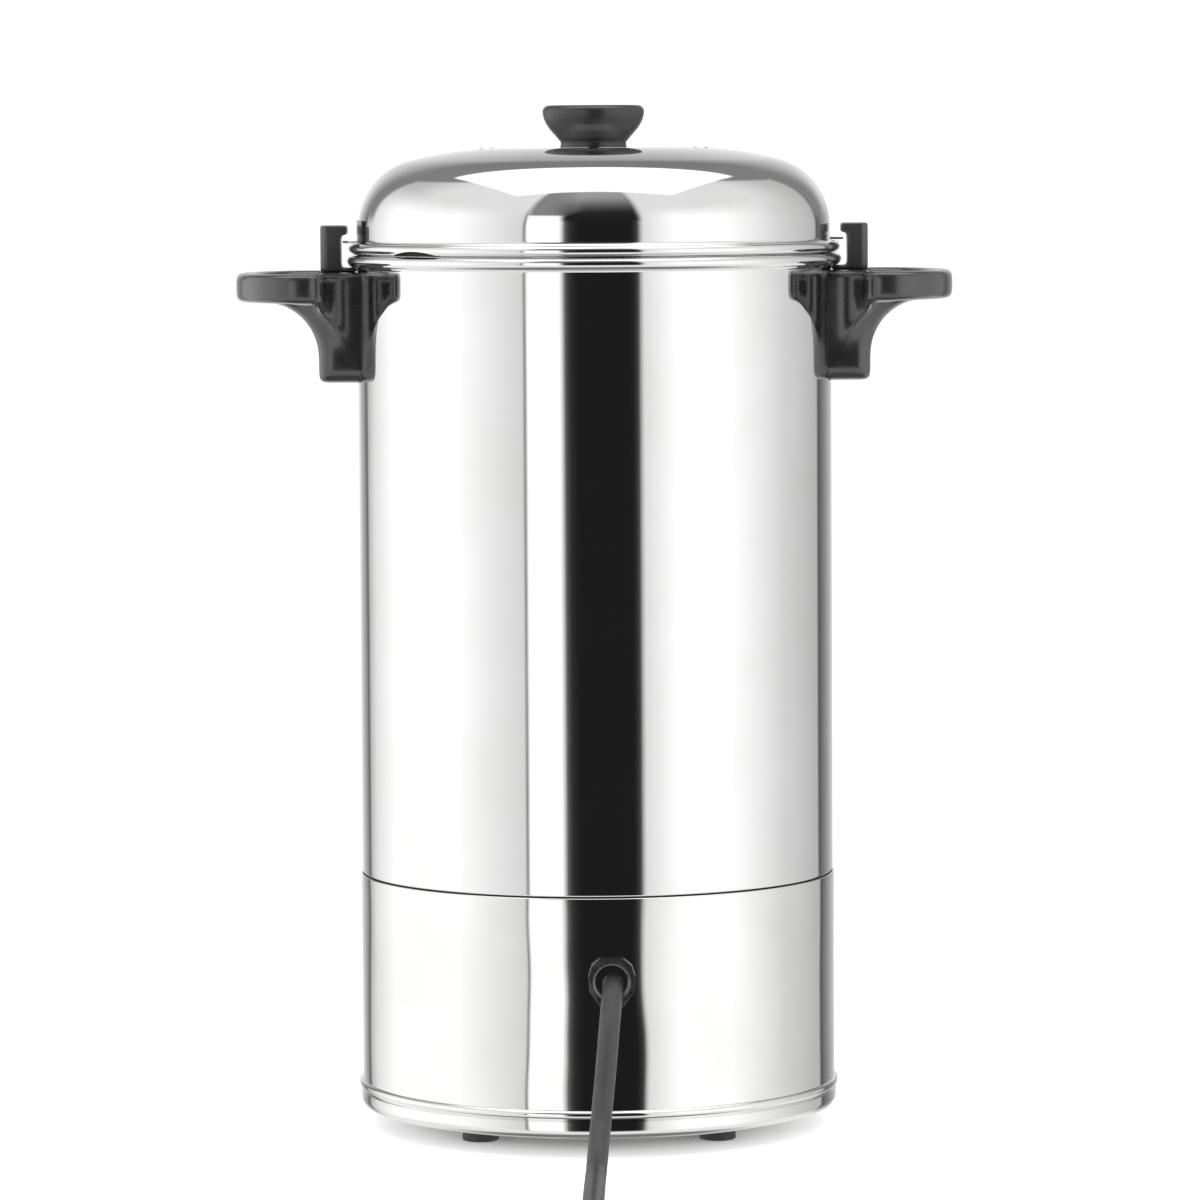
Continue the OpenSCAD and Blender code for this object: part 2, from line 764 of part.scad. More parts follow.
// Two L-shaped strips welded to the dome's side, which turn under the hooks
module lid_tabs() {
  turn = 2 * asin(tab_w / 2 / tab_r);
  color("#b5b8ba")
    for (side = [0, 180])
      rotate([0, 0, side + unlock_turn - turn / 2])
        rotate_extrude(angle = turn, $fn = 180)
          polygon([
            [tab_foot_r, tab_z], [tab_r, tab_z], [tab_r, tab_z + tab_t],
            [tab_foot_r + tab_t, tab_z + tab_t], [tab_foot_r + tab_t, tab_z + tab_up],
            [tab_foot_r, tab_z + tab_up]
          ]);
}

module knob() {
  r = knob_d / 2;
  n = knob_neck_d / 2;
  z0 = crown_z + 0.1;
  h = knob_h;
  color("#232324")
    difference() {
      rotate_extrude($fn = 120)
        polygon(concat(
          [[0, z0], [n + 0.3, z0], [n, z0 + 0.8], [n, z0 + 1.8], [n + 1.7, z0 + 0.16 * h]],
          [[n + 5.3, z0 + 0.41 * h], [r - 1.2, z0 + 0.63 * h], [r - 0.2, z0 + 0.78 * h]],
          arc([r - 2.6, z0 + h - 2.8], 2.6, 10, 80, 5),
          [[r - 3, z0 + h], [0, z0 + h]]
        ));
      translate([0, 0, z0 - 1]) cylinder(r = screw_r + 0.5 + run, h = 14);
    }
}

module knob_screw() {
  color("#b5b8ba")
    translate([0, 0, crown_z - lid_wall - 1.4]) rotate([180, 0, 0])
      pan_screw(screw_r + 0.5, 5, 3, 13);
}

module knob_washer() {
  color("#d8d8d4") ring(screw_r + 0.5 + run, 8, crown_z - lid_wall - 1.4, crown_z - lid_wall - 0.2);
}

// ---- Tap -----------------------------------------------------------------

module tap_body() {
  color("#242425")
    difference() {
      union() {
        rod_y(shank_d / 2, tap_y, -tank_in + shank_in, z = tap_z);
        rod_y(shank_d / 2 + 3, tap_y, -tank_r - shank_shoulder, z = tap_z);
        rod_y(flange_r, -tank_r - 2 * flange_t, -tank_r - flange_t, z = tap_z);
        translate([0, tap_y, seat_z - 4]) cylinder(r = valve_d / 2, h = chamber_top - seat_z + 4);
        translate([0, tap_y, spout_end]) cylinder(r1 = flow_d / 2 + 2, r2 = flow_d / 2 + 4, h = spout_l + 1);
        translate([0, tap_y, seat_z - 7]) cylinder(r1 = flow_d / 2 + 4, r2 = valve_d / 2, h = 3 + eps);
        translate([0, glass_y, tap_z]) cylinder(r = boss_r, h = boss_top - tap_z);
      }
      translate([0, tap_y, seat_z]) cylinder(r = chamber_d / 2, h = 100);
      translate([0, tap_y, spout_end - 1]) cylinder(r = flow_d / 2, h = 100);
      rod_y(flow_d / 2, tap_y, -tank_in + 30, z = tap_z);
      translate([0, glass_y, tap_z]) cylinder(r = glass_d / 2 - glass_wall, h = 60);
      translate([0, glass_y, glass_z0]) cylinder(r = glass_d / 2 + 0.3, h = 60);
      translate([0, glass_y, boss_top - 4]) cylinder(r = glass_d / 2 + 2, h = 60);
    }
}

module tank_core(r, h = 60) {
  translate([0, 0, tap_z - h / 2]) cylinder(r = r, h = h, $fn = 180);
}

module tap_outer_seal() {
  color("#d9d6cc")
    difference() {
      rod_y(14, -tank_r - 3, -tank_r + 4, z = tap_z);
      rod_y(shank_d / 2 + run, -tank_r - 4, -tank_r + 6, z = tap_z);
      tank_core(tank_r + seat);
    }
}

module tap_inner_seal() {
  color("#d9d6cc")
    difference() {
      intersection() {
        rod_y(14, -tank_in - 1, -tank_in + 4, z = tap_z);
        tank_core(tank_in - seat);
      }
      rod_y(shank_d / 2 + run, -tank_in - 2, -tank_in + 6, z = tap_z);
    }
}

module tap_nut() {
  color("#b5b8ba")
    difference() {
      translate([0, -tank_in + 4, tap_z]) rotate([-90, 0, 0]) cylinder(r = 14, h = 7, $fn = 6);
      rod_y(shank_d / 2 + run, -tank_in, -tank_in + 14, z = tap_z);
    }
}

// The screwed cap that closes the valve chamber and guides the stem
module tap_bonnet() {
  color("#1c1c1d")
    translate([0, tap_y, 0])
      difference() {
        union() {
          translate([0, 0, chamber_top]) cylinder(r = valve_d / 2 + 1.6, h = bonnet_h - 3, $fn = 12);
          translate([0, 0, chamber_top + bonnet_h - 3])
            cylinder(r1 = valve_d / 2, r2 = valve_d / 2 - 3, h = 3);
          translate([0, 0, chamber_top - 5]) cylinder(r = chamber_d / 2 - run, h = 6);
        }
        translate([0, 0, chamber_top - 6]) cylinder(r = cup_r + 0.6, h = bonnet_recess + 6);
        translate([0, 0, chamber_top - 6]) cylinder(r = stem_d / 2 + run, h = 60);
      }
}

module tap_stem() {
  color("#b5b8ba")
    translate([0, tap_y, 0])
      difference() {
        union() {
          translate([0, 0, seat_z + 3]) cylinder(r = stem_d / 2, h = pivot_z - seat_z);
          translate([0, 0, seat_z + 3]) cylinder(r = stem_d / 2 + 1.5, h = 2);
        }
        rod_x(pin_d / 2 + run, -10, 10, z = pivot_z);
      }
}

module seat_cup() {
  color("#cfc8b8")
    translate([0, tap_y, 0])
      difference() {
        rotate_extrude($fn = 64)
          polygon([[0, seat_z], [cup_r - 1, seat_z], [cup_r, seat_z + 1.5], [cup_r, seat_z + 6],
            [cup_r - 1.5, seat_z + cup_h], [0, seat_z + cup_h]]);
        translate([0, 0, seat_z + 3]) cylinder(r = stem_d / 2 + run, h = 20);
        translate([0, 0, seat_z + 3 - run]) cylinder(r = stem_d / 2 + 1.5 + run, h = 2 + 2 * run);
      }
}

module tap_spring() {
  z0 = spring_z0 + spring_wire + 0.05;
  rise = spring_z1 - spring_z0 - 2 * spring_wire - 0.1;
  steps = spring_turns * 14;
  color("#9fa2a4")
    translate([0, tap_y, 0])
      sweep([
        for (i = [0:steps])
          [
            spring_mean_r * cos(360 * i / 14), spring_mean_r * sin(360 * i / 14),
            z0 + rise * i / steps
          ]
      ], spring_wire, 6, [0, 0, 1]);
}

// Side outline of the lever's hub, x towards the tank: its heel is an involute,
// so the valve lifts evenly as the lever comes forward
module heel_side() {
  c = valve_lift / (lever_turn * PI / 180);
  polygon(concat(
    [[6.4, 4], [6.4, -heel + 1.5], [4.9, -heel]],
    [
      for (a = [0:5:45])
        let (h = heel + c * a * PI / 180)
          [-h * sin(a) - c * cos(a), -h * cos(a) + c * sin(a)]
    ],
    [[-8.6, 3.4], [-4, 8], [3, 8]]
  ));
}

// The lever: a forked hub over the stem and a paddle that leans forward
module tap_lever() {
  slot = stem_d / 2 + 0.4;
  color("#161617")
    translate([0, tap_y, pivot_z])
      difference() {
        union() {
          rotate([90, 0, 90]) linear_extrude(16, center = true) heel_side();
          rotate([-lever_lean, 0, 0])
            linear_extrude(6.4, center = true)
              polygon(concat(
                [[-8, -4], [-6.2, -16]],
                arc([0, -lever_l + 11], 11, 180, 360, 12),
                [[6.2, -16], [8, -4]]
              ));
        }
        // slot for the stem
        translate([-slot, -20, -20]) cube([2 * slot, 40, 20 + stem_d / 2 + 1.4]);
        rod_x(pin_d / 2 + run, -7, 7);
      }
}

module lever_pin() {
  color("#b5b8ba") translate([0, tap_y, pivot_z]) rod_x(pin_d / 2, -6.9, 6.9);
}

// ---- Sight gauge ---------------------------------------------------------

module gauge_glass() {
  color("#dfe9ec", 0.5)
    translate([0, glass_y, 0]) ring(glass_d / 2 - glass_wall, glass_d / 2, glass_z0 + 0.1, glass_z1);
}

module gauge_guard() {
  color("#c9ccce")
    translate([0, glass_y, 0])
      difference() {
        ring(guard_r - guard_t, guard_r, guard_z0, cap_z0);
        translate([-20, 2, guard_z0 - 1]) cube([40, 40, 400]);
        translate([-window_w / 2, -30, guard_z0 + 10])
          cube([window_w, 30, cap_z0 - guard_z0 - 20]);
      }
}

// The cap over the top of the glass, with the foot that is screwed to the tank
module gauge_cap() {
  color("#242425")
    difference() {
      union() {
        translate([0, glass_y, cap_z0]) cylinder(r = cap_r, h = cap_h - 3);
        translate([0, glass_y, cap_z0 + cap_h - 3]) cylinder(r1 = cap_r, r2 = cap_r - 3, h = 3);
        translate([-9, glass_y, cap_z0]) cube([18, -glass_y - tank_r + 6, cap_h - 3]);
      }
      translate([0, glass_y, cap_z0 - 1]) cylinder(r = glass_d / 2 + 0.3, h = 16);
      translate([0, glass_y, cap_z0 - 1]) cylinder(r = glass_d / 2 + 2, h = 5);
      translate([0, glass_y, cap_z0 + 10]) cylinder(r = 1.2, h = 40, $fn = 24);
      translate([0, 0, cap_z0 - 10]) cylinder(r = tank_r + seat, h = 60, $fn = 180);
      rod_y(screw_r + run, -tank_r - 9, -tank_r + 10, z = cap_bolt_z);
    }
}

module gauge_seals() {
  color("#d9d6cc")
    translate([0, glass_y, 0]) {
      ring(glass_d / 2 + run, glass_d / 2 + 2 - run, boss_top - 3.9, boss_top - 0.2);
      ring(glass_d / 2 + run, glass_d / 2 + 2 - run, cap_z0 + 0.2, cap_z0 + 3.9);
    }
}

module gauge_screw() {
  color("#b5b8ba")
    translate([0, -tank_in + seat, cap_bolt_z]) rotate([-90, 0, 0])
      pan_screw(screw_r, screw_head_r, screw_head_h, 9);
}

// ---- Brewing parts -------------------------------------------------------

module pump_tube() {
  color("#c4c7c9") {
    ring(pump_d / 2 - pump_wall, pump_d / 2, well_z + 16, floor_z + pump_h);
    // collar that carries the basket
    ring(pump_d / 2 - eps, pump_d / 2 + 2.5, floor_z + basket_up - 4, floor_z + basket_up - 0.2);
  }
}

module pump_foot() {
  r = well_r - 4.2;
  t = pump_d / 2;
  color("#bfc2c4")
    difference() {
      rotate_extrude($fn = 96)
        polygon([
          [r - 1, well_z + 0.2], [r, well_z + 0.2], [r, well_z + 6], [t + 1.6, well_z + 20],
          [t + 1.6, well_z + 26], [t + run, well_z + 26], [t + run, well_z + 16],
          [t - pump_wall, well_z + 16], [t - pump_wall, well_z + 14.6], [r - 1, well_z + 5.4]
        ]);
      for (turn = [0:60:300])
        facing(turn, well_z) rod_x(1.6, r - 4, r + 4, z = 1.4);
    }
}

module pump_valve() {
  color("#a8abad") ring(3, well_r - 6.4, well_z + 0.15, well_z + 1.15);
}

module brew_holes(r_list, z) {
  for (r = r_list)
    for (turn = [0:360 / round(r / 2.6):359.9])
      facing(turn) translate([r, 0, z]) cylinder(r = brew_hole_d / 2, h = 6, $fn = 16);
}

module basket() {
  z = floor_z + basket_up;
  w = basket_wall;
  hub = pump_d / 2 + 0.1;
  color("#c4c7c9")
    difference() {
      rotate_extrude($fn = 120) {
        polygon([
          [hub, z], [basket_r - 3, z], [basket_r, z + 3], [basket_r, z + basket_h],
          [basket_r - w, z + basket_h], [basket_r - w, z + 3.3], [basket_r - 3.3, z + w],
          [hub + 1.2, z + w], [hub + 1.2, z + basket_h + 2], [hub, z + basket_h + 2]
        ]);
        translate([basket_r + 0.6, z + basket_h - 1.2]) circle(r = 1.2, $fn = 24);
      }
      brew_holes([basket_r * 0.3, basket_r * 0.55, basket_r * 0.8], z - 2);
    }
}

// The spreader: a shallow pan that lies on the basket's rim
module basket_cover() {
  z = floor_z + basket_up + basket_h + 0.1;
  w = basket_wall;
  r = basket_r + 2.4;
  hub = pump_d / 2 + 1.6;
  color("#c9ccce")
    difference() {
      rotate_extrude($fn = 120)
        polygon([
          [hub, z + 2.4], [hub + 4, z + 2.4], [hub + 8, z - 2.6], [basket_r - 5, z - 2.6],
          [basket_r - 2, z], [r, z], [r, z + 4], [r - w, z + 4], [r - w, z + w],
          [basket_r - 2.3, z + w], [basket_r - 5.3, z - 2.6 + w], [hub + 8.3, z - 2.6 + w],
          [hub + 4.3, z + 2.4 + w], [hub, z + 2.4 + w]
        ]);
      brew_holes([basket_r * 0.4, basket_r * 0.62, basket_r * 0.82], z - 4);
    }
}

// ---- Heater and wiring ---------------------------------------------------

module heater_plate() {
  color("#a3a5a6")
    difference() {
      ring(well_r + tank_wall + 1.3, heater_ring + heater_rod + 4, floor_under - 6, floor_under);
      translate([0, 0, floor_under - 6])
        rotate_extrude() translate([heater_ring, 0]) circle(r = heater_rod + 0.1, $fn = 32);
    }
}

module brewing_element() {
  z = floor_under - 6;
  color("#6f6a66") {
    translate([0, 0, z]) rotate_extrude() translate([heater_ring, 0]) circle(r = heater_rod, $fn = 32);
    for (y = [-terminal_gap, terminal_gap])
      translate([sqrt(pow(heater_ring, 2) - pow(y, 2)), y, z - terminal_l])
        cylinder(r = terminal_r, h = terminal_l, $fn = 24);
  }
}

module warm_element() {
  color("#6f6a66") {
    rotate_extrude()
      intersection() {
        translate([warm_ring, floor_under - warm_rod * 0.6]) circle(r = warm_rod, $fn = 32);
        translate([0, floor_under - 4 * warm_rod]) square([tank_r, 4 * warm_rod]);
      }
    for (y = [-terminal_gap, terminal_gap])
      translate([-sqrt(pow(warm_ring, 2) - pow(y, 2)), y, floor_under - terminal_l])
        cylinder(r = terminal_r, h = terminal_l - 2, $fn = 24);
  }
}

module thermostat() {
  r = thermostat_flange_r;
  color("#3a3a3c")
    facing(thermostat_turn)
      translate([heater_ring + heater_rod + 5.5 + r, 0, 0]) {
        translate([0, 0, floor_under - thermostat_h]) cylinder(r = thermostat_r, h = thermostat_h);
        translate([0, 0, floor_under - 1]) cylinder(r = r, h = 1);
        for (y = [-r / 2, r / 2])
          translate([-0.4, y - 3, floor_under - 2 * thermostat_h + 1]) cube([0.8, 6, thermostat_h - 0.5]);
      }
}

module cutout() {
  x = cutout_place[0];
  y = cutout_place[1];
  s = cutout_size;
  color("#3a3a3c")
    difference() {
      union() {
        translate([x - s[0] / 2, y - s[1] / 2, plate_top]) cube(s);
        for (side = [-1, 1])
          translate([x + side * 6 - 3, y - 0.4, plate_top + s[2] - 0.5]) cube([6, 0.8, 8]);
      }
      translate([x, y, 0]) cylinder(r = reset_r + run, h = plate_top + 8);
      translate([x, y, 0]) cylinder(r = reset_r + 1.2 + run, h = plate_top + 4 - 1);
    }
}

// Sensing bulb under the tank's floor and its capillary down to the cut-out
module cutout_bulb() {
  x = cutout_place[0];
  y = cutout_place[1];
  top = plate_top + cutout_size[2];
  bulb_z = floor_under - bulb_drop;
  rise = bulb_z - top;
  color("#b0794a") {
    rod_x(bulb_r, bulb_x, bulb_x + bulb_l, y = bulb_y, z = bulb_z);
    sweep([
      [x, y + 4, top], [x, y + 4, top + rise * 0.1], [x - 3, y + 2, top + rise * 0.3],
      [x - 8, y, top + rise * 0.6], [bulb_x - 5, bulb_y, bulb_z - 4 * bulb_r],
      [bulb_x - 4.6, bulb_y, bulb_z - 2.4 * bulb_r], [bulb_x - 3.4, bulb_y, bulb_z - bulb_r],
      [bulb_x - 1.6, bulb_y, bulb_z - 0.2 * bulb_r], [bulb_x + 0.5, bulb_y, bulb_z]
    ], capillary_r, 6, [0, 1, 0]);
  }
}

module reset_button() {
  x = cutout_place[0];
  y = cutout_place[1];
  color("#c0392b") {
    translate([x, y, plate_z - 2.4]) cylinder(r = reset_r, h = 8.4);
    translate([x, y, plate_top + 0.1]) cylinder(r = reset_r + 1.2, h = 1.2);
  }
}

module terminal_block() {
  s = block_size;
  color("#e2ddcf")
    difference() {
      translate([block_place[0] - s[0] / 2, block_place[1] - s[1] / 2, plate_top]) cube(s);
      for (i = [-1:1])
        translate([block_place[0] + i * 12, block_place[1], plate_top + s[2] - 4])
          cylinder(r = 3, h = 8, $fn = 32);
    }
}

// Insulated leads from the gland to the block, and up to what it feeds
module wires() {
  b = [block_place[0], block_place[1], plate_top + block_size[2] / 2];
  in_y = b[1] + block_size[1] / 2 + 0.2;
  out_y = b[1] - block_size[1] / 2 - 0.2;
  low = floor_under - 24.1;
  hx = sqrt(pow(heater_ring, 2) - pow(terminal_gap, 2));
  wx = -sqrt(pow(warm_ring, 2) - pow(terminal_gap, 2));
  color("#7a4a2a")
    for (i = [-1:1])
      sweep([
        [gland_x + 4 * i, gland_y - 22.5, gland_z], [gland_x + 4 * i, gland_y - 28, gland_z - 4],
        [gland_x - 8 + 4 * i, gland_y - 31, gland_z - 22],
        [b[0] + 8 + 6 * i, gland_y - 31, b[2] + 20],
        [b[0] + 2 + 11 * i, in_y + 10, b[2] + 6], [b[0] + 12 * i, in_y + 5, b[2]],
        [b[0] + 12 * i, in_y, b[2]]
      ], 1.5, 8);
  color("#2f5d9b")
    for (side = [-1, 1]) {
      sweep([
        [b[0] + 6 + 6 * side, out_y, b[2]], [b[0] + 6 + 6 * side, out_y - 6, b[2]],
        [b[0] + 20 + 8 * side, out_y - 16, b[2] + 18], [hx - 20, 12 * side + 8, low - 22],
        [hx, terminal_gap * side, low - 14], [hx, terminal_gap * side, low]
      ], 1.5, 8);
      sweep([
        [b[0] - 6 + 6 * side, out_y, b[2] + 4], [b[0] - 6 + 6 * side, out_y - 7, b[2] + 6],
        [b[0] - 20 + 4 * side, out_y - 26, b[2] + 30], [wx, terminal_gap * side, low - 14],
        [wx, terminal_gap * side, low + 6]
      ], 1.5, 8);
    }
}

// ---- Controls ------------------------------------------------------------

module skirt_core(r) {
  translate([0, 0, -housing_h]) cylinder(r = r, h = 2 * housing_h, $fn = 180);
}

module switch_housing() {
  w = housing_w;
  h = housing_h;
  t = housing_wall;
  r = skirt_r + 1.6;
  color("#1b1b1c")
    facing(switch_az, control_z)
      difference() {
        union() {
          difference() {
            translate([skirt_r - 3, -w / 2 - housing_lip, -h / 2 - housing_lip])
              cube([r - skirt_r + 3, w + 2 * housing_lip, h + 2 * housing_lip]);
            skirt_core(skirt_r + seat);
          }
          translate([skirt_r - 22, -w / 2, -h / 2]) cube([r - skirt_r + 22, w, h]);
        }
        translate([skirt_r - 11, -w / 2 + t, -h / 2 + t]) cube([30, w - 2 * t, h - 2 * t]);
        translate([rocker_pivot_r, 0, 0]) rotate([90, 0, 0])
          cylinder(r = rocker_pin_r + run, h = w - 1, center = true);
      }
}

module rocker() {
  color("#2a2a2c")
    facing(switch_az, control_z)
      translate([rocker_pivot_r, 0, 0])
        rotate([0, rocker_turn / 2, 0]) {
          rotate([90, 0, 0])
            linear_extrude(rocker_w, center = true)
              polygon([
                [-5, -3], [-5, 3], [-0.5, rocker_half - 0.4], [4.6, rocker_half],
                [3.4, 0], [4.6, -rocker_half], [-0.5, -rocker_half + 0.4]
              ]);
          rotate([90, 0, 0]) cylinder(r = rocker_pin_r, h = housing_w - 1.4, center = true);
        }
}

module lamp_bezels() {
  color("#1b1b1c")
    for (side = [-1, 1])
      facing(lamp_az, control_z + side * lamp_gap / 2)
        difference() {
          union() {
            difference() {
              rod_x(lens_d / 2 + 2.6, skirt_r - 2, skirt_r + 2);
              translate([0, 0, 0]) skirt_core(skirt_r + seat);
            }
            rod_x(lens_d / 2 + 0.8, skirt_r - 18, skirt_r + 1);
          }
          rod_x(lens_d / 2 + run, skirt_r - 6, skirt_r + 5);
        }
}

module lens(side) {
  facing(lamp_az, control_z + side * lamp_gap / 2)
    translate([skirt_r - 5.9, 0, 0]) rotate([0, 90, 0])
      rotate_extrude($fn = 48)
        polygon(concat(
          [[0, 0], [lens_d / 2, 0], [lens_d / 2, 7.6]],
          [for (a = [75:-15:0]) [lens_d / 2 * sin(a), 7.6 + 2.4 * cos(a)]]
        ));
}

module heat_lens() {
  color("#d9731f") lens(1);
}

module ready_lens() {
  color("#3f9e4b") lens(-1);
}

// ---- Mains lead ----------------------------------------------------------

// Collar outline: a rounded octagon, narrower at the bottom
module gland_outline() {
  w = gland_w / 2;
  h = gland_h / 2;
  polygon([
    [-w * 0.5, h], [w * 0.5, h], [w * 0.86, h * 0.72], [w, h * 0.3], [w * 0.96, -h * 0.3],
    [w * 0.5, -h * 0.92], [w * 0.3, -h], [-w * 0.3, -h], [-w * 0.5, -h * 0.92],
    [-w * 0.96, -h * 0.3], [-w, h * 0.3], [-w * 0.86, h * 0.72]
  ]);
}

module gland() {
  mouth = gland_w / 2 - 2.2;
  color("#222223")
    difference() {
      union() {
        difference() {
          translate([gland_x, gland_mouth, gland_z - 0.4]) rotate([90, 0, 0])
            linear_extrude(gland_out + 3) gland_outline();
          skirt_core_at(skirt_r + seat);
        }
        rod_y(gland_barrel_r, gland_y - 20, gland_y + 1, x = gland_x, z = gland_z);
      }
      translate([gland_x, throat_y, gland_z]) rotate([-90, 0, 0])
        cylinder(r1 = cord_d / 2 + 0.7, r2 = mouth, h = gland_mouth - throat_y + eps);
    }
}

module skirt_core_at(r) {
  translate([0, 0, gland_z - 30]) cylinder(r = r, h = 60, $fn = 180);
}

module gland_nut() {
  color("#222223")
    difference() {
      translate([gland_x, gland_y - 9, gland_z]) rotate([-90, 0, 0]) cylinder(r = 13, h = 6.8, $fn = 6);
      rod_y(gland_barrel_r + run, gland_y - 20, gland_y + 5, x = gland_x, z = gland_z);
    }
}

module cord() {
  color("#2e2e30") {
    sweep(cord_route, cord_d / 2, 12);
    sweep(tail_route, cord_d / 2, 12);
  }
}

module cord_coil() {
  w = coil_turns_wide * cord_d / 2;
  h = coil_turns_high * cord_d;
  color("#2e2e30")
    translate(coil_middle)
      rotate_extrude($fn = 96)
        translate([coil_ring, 0])
          polygon([[-w + 2, 0], [w - 2, 0], [w, 2], [w, h - 2], [w - 2, h], [-w + 2, h], [-w, h - 2], [-w, 2]]);
}

// Moulded earthed plug with its tapered strain relief
module plug_body() {
  color("#242426")
    translate(plug_at) rotate([0, 90, 0])
      rotate_extrude($fn = 64)
        polygon([
          [0, 0], [cord_d / 2 + 1.4, 0], [cord_d / 2 + 3.5, plug_taper_l],
          [plug_r - 5, plug_taper_l + 3], [plug_r - 0.6, plug_taper_l + 9],
          [plug_r, plug_taper_l + 12], [plug_r, plug_taper_l + plug_body_l - 1],
          [plug_r - 1, plug_taper_l + plug_body_l], [0, plug_taper_l + plug_body_l]
        ]);
}

module plug_pins() {
  x = plug_at[0] + plug_taper_l + plug_body_l;
  color("#c9b98a")
    for (side = [-1, 1])
      rod_x(plug_pin_r, x, x + plug_pin_l, y = plug_at[1] + side * plug_pin_gap / 2, z = plug_at[2]);
}

tank();
base_skirt();
base_ring();
bottom_plate();
feet();
foot_screws();
foot_nuts();
base_posts();
base_screws();
handle_right();
handle_left();
lid_hooks();
handle_screws();
handle_washers();
lid_dome();
lid_collar();
lid_tabs();
knob();
knob_screw();
knob_washer();
tap_body();
tap_outer_seal();
tap_inner_seal();
tap_nut();
tap_bonnet();
tap_stem();
seat_cup();
tap_spring();
tap_lever();
lever_pin();
gauge_glass();
gauge_guard();
gauge_cap();
gauge_seals();
gauge_screw();
pump_tube();
pump_foot();
pump_valve();
basket();
basket_cover();
heater_plate();
brewing_element();
warm_element();
thermostat();
cutout();
cutout_bulb();
reset_button();
terminal_block();
wires();
switch_housing();
rocker();
lamp_bezels();
heat_lens();
ready_lens();
gland();
gland_nut();
cord();
cord_coil();
plug_body();
plug_pins();
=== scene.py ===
"""Looks of a percolating coffee urn in mirror-polished steel, seen from behind.

Units are metres; lengths that belong to a piece are written in millimetres and
multiplied by MM. +Z is up, the tap is on the -Y side, the mains lead on +Y.
"""

import math

import bmesh
import bpy
from mathutils import Matrix, Vector


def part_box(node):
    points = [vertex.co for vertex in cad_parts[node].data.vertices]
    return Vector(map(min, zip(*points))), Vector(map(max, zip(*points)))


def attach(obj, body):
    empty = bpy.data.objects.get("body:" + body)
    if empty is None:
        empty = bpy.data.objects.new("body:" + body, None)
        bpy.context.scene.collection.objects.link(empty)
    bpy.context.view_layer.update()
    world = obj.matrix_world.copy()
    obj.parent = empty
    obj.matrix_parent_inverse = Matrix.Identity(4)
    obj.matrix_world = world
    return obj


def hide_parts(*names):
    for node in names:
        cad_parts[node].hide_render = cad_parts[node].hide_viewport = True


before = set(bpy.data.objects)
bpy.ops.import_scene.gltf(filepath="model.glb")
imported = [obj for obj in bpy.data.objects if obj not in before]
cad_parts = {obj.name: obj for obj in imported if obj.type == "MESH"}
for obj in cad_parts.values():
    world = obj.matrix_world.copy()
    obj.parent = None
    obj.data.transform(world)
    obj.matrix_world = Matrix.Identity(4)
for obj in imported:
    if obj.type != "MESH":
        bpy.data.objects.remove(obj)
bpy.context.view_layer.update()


# ---- Camera ----------------------------------------------------------------
# A long lens nearly three metres behind the urn, about level with its knob and
# tilted down a little.
MM = 0.001
IMAGE_SIDE = 1200
LENS_PIXELS = 5928
SENSOR = 36.0
CLIP_END = 20
CAMERA_PLACE = (-1.93 * MM, 2.933, 0.4842)
CAMERA_TILT, CAMERA_ROLL = 85.635, -0.33

camera_data = bpy.data.cameras.new("camera")
camera_data.sensor_width = SENSOR
camera_data.lens = LENS_PIXELS / IMAGE_SIDE * SENSOR
camera_data.clip_end = CLIP_END
camera = bpy.data.objects.new("camera", camera_data)
bpy.context.scene.collection.objects.link(camera)
camera.location = CAMERA_PLACE
camera.rotation_euler = (
    Matrix.Rotation(math.pi, 3, "Z")
    @ Matrix.Rotation(math.radians(CAMERA_TILT), 3, "X")
    @ Matrix.Rotation(math.radians(CAMERA_ROLL), 3, "Z")
).to_euler()
bpy.context.scene.camera = camera
bpy.context.scene.view_settings.view_transform = "Standard"


# ---- Mains lead ------------------------------------------------------------
# Round rubber-sheathed flex, 10 mm thick. It droops out of the gland to the
# counter, runs back from the urn and ends in a coil of three and a bit turns,
# two wide and two high, held by a hook-and-loop tie, with its plug beside it.
LEAD_D = 10
lead_route = [
    (-7, 106, 86), (-7, 112, 86), (-7, 119, 84.4), (-6.7, 126, 81.2), (-6.1, 133, 76),
    (-5.4, 139, 69.2), (-4.6, 144, 61), (-3.7, 148.5, 51.5), (-2.7, 153, 41.5), (-1.6, 158.5, 31.5),
    (-0.5, 166, 21.5), (0.5, 176, 13.2), (1.2, 188, 7.8), (1.7, 201, 5.5), (2, 216, 5.2),
    (2.3, 234, 5.2), (2.6, 255, 5.2), (3, 280, 5.2), (2.6, 306, 5.2), (1.4, 334, 5.2),
    (-0.2, 361, 5.2), (-1.6, 386, 5.2), (-2.2, 410, 5.2),
]
tail_route = [
    (66, 492.6, 15.2), (76, 493, 15.6), (87, 493.2, 16.8), (99, 493.2, 18.4), (110, 493.2, 19),
]
COIL_MIDDLE = Vector((57.5, 433))
COIL_OUTER, COIL_INNER = 60, 50
COIL_LOW, COIL_HIGH = 5.2, 15.2
COIL_SWEEP = 1170
# The sweeps over which the coil goes to its inner turn, up a layer, and out again
INWARD, UPWARD, OUTWARD = (300, 360), (600, 670), (900, 960)


def glide(a, b, x, over):
    """From a to b as x passes over a stretch, easing in and out."""
    start, end = over
    t = min(max((x - start) / (end - start), 0), 1)
    return a + (b - a) * t * t * (3 - 2 * t)


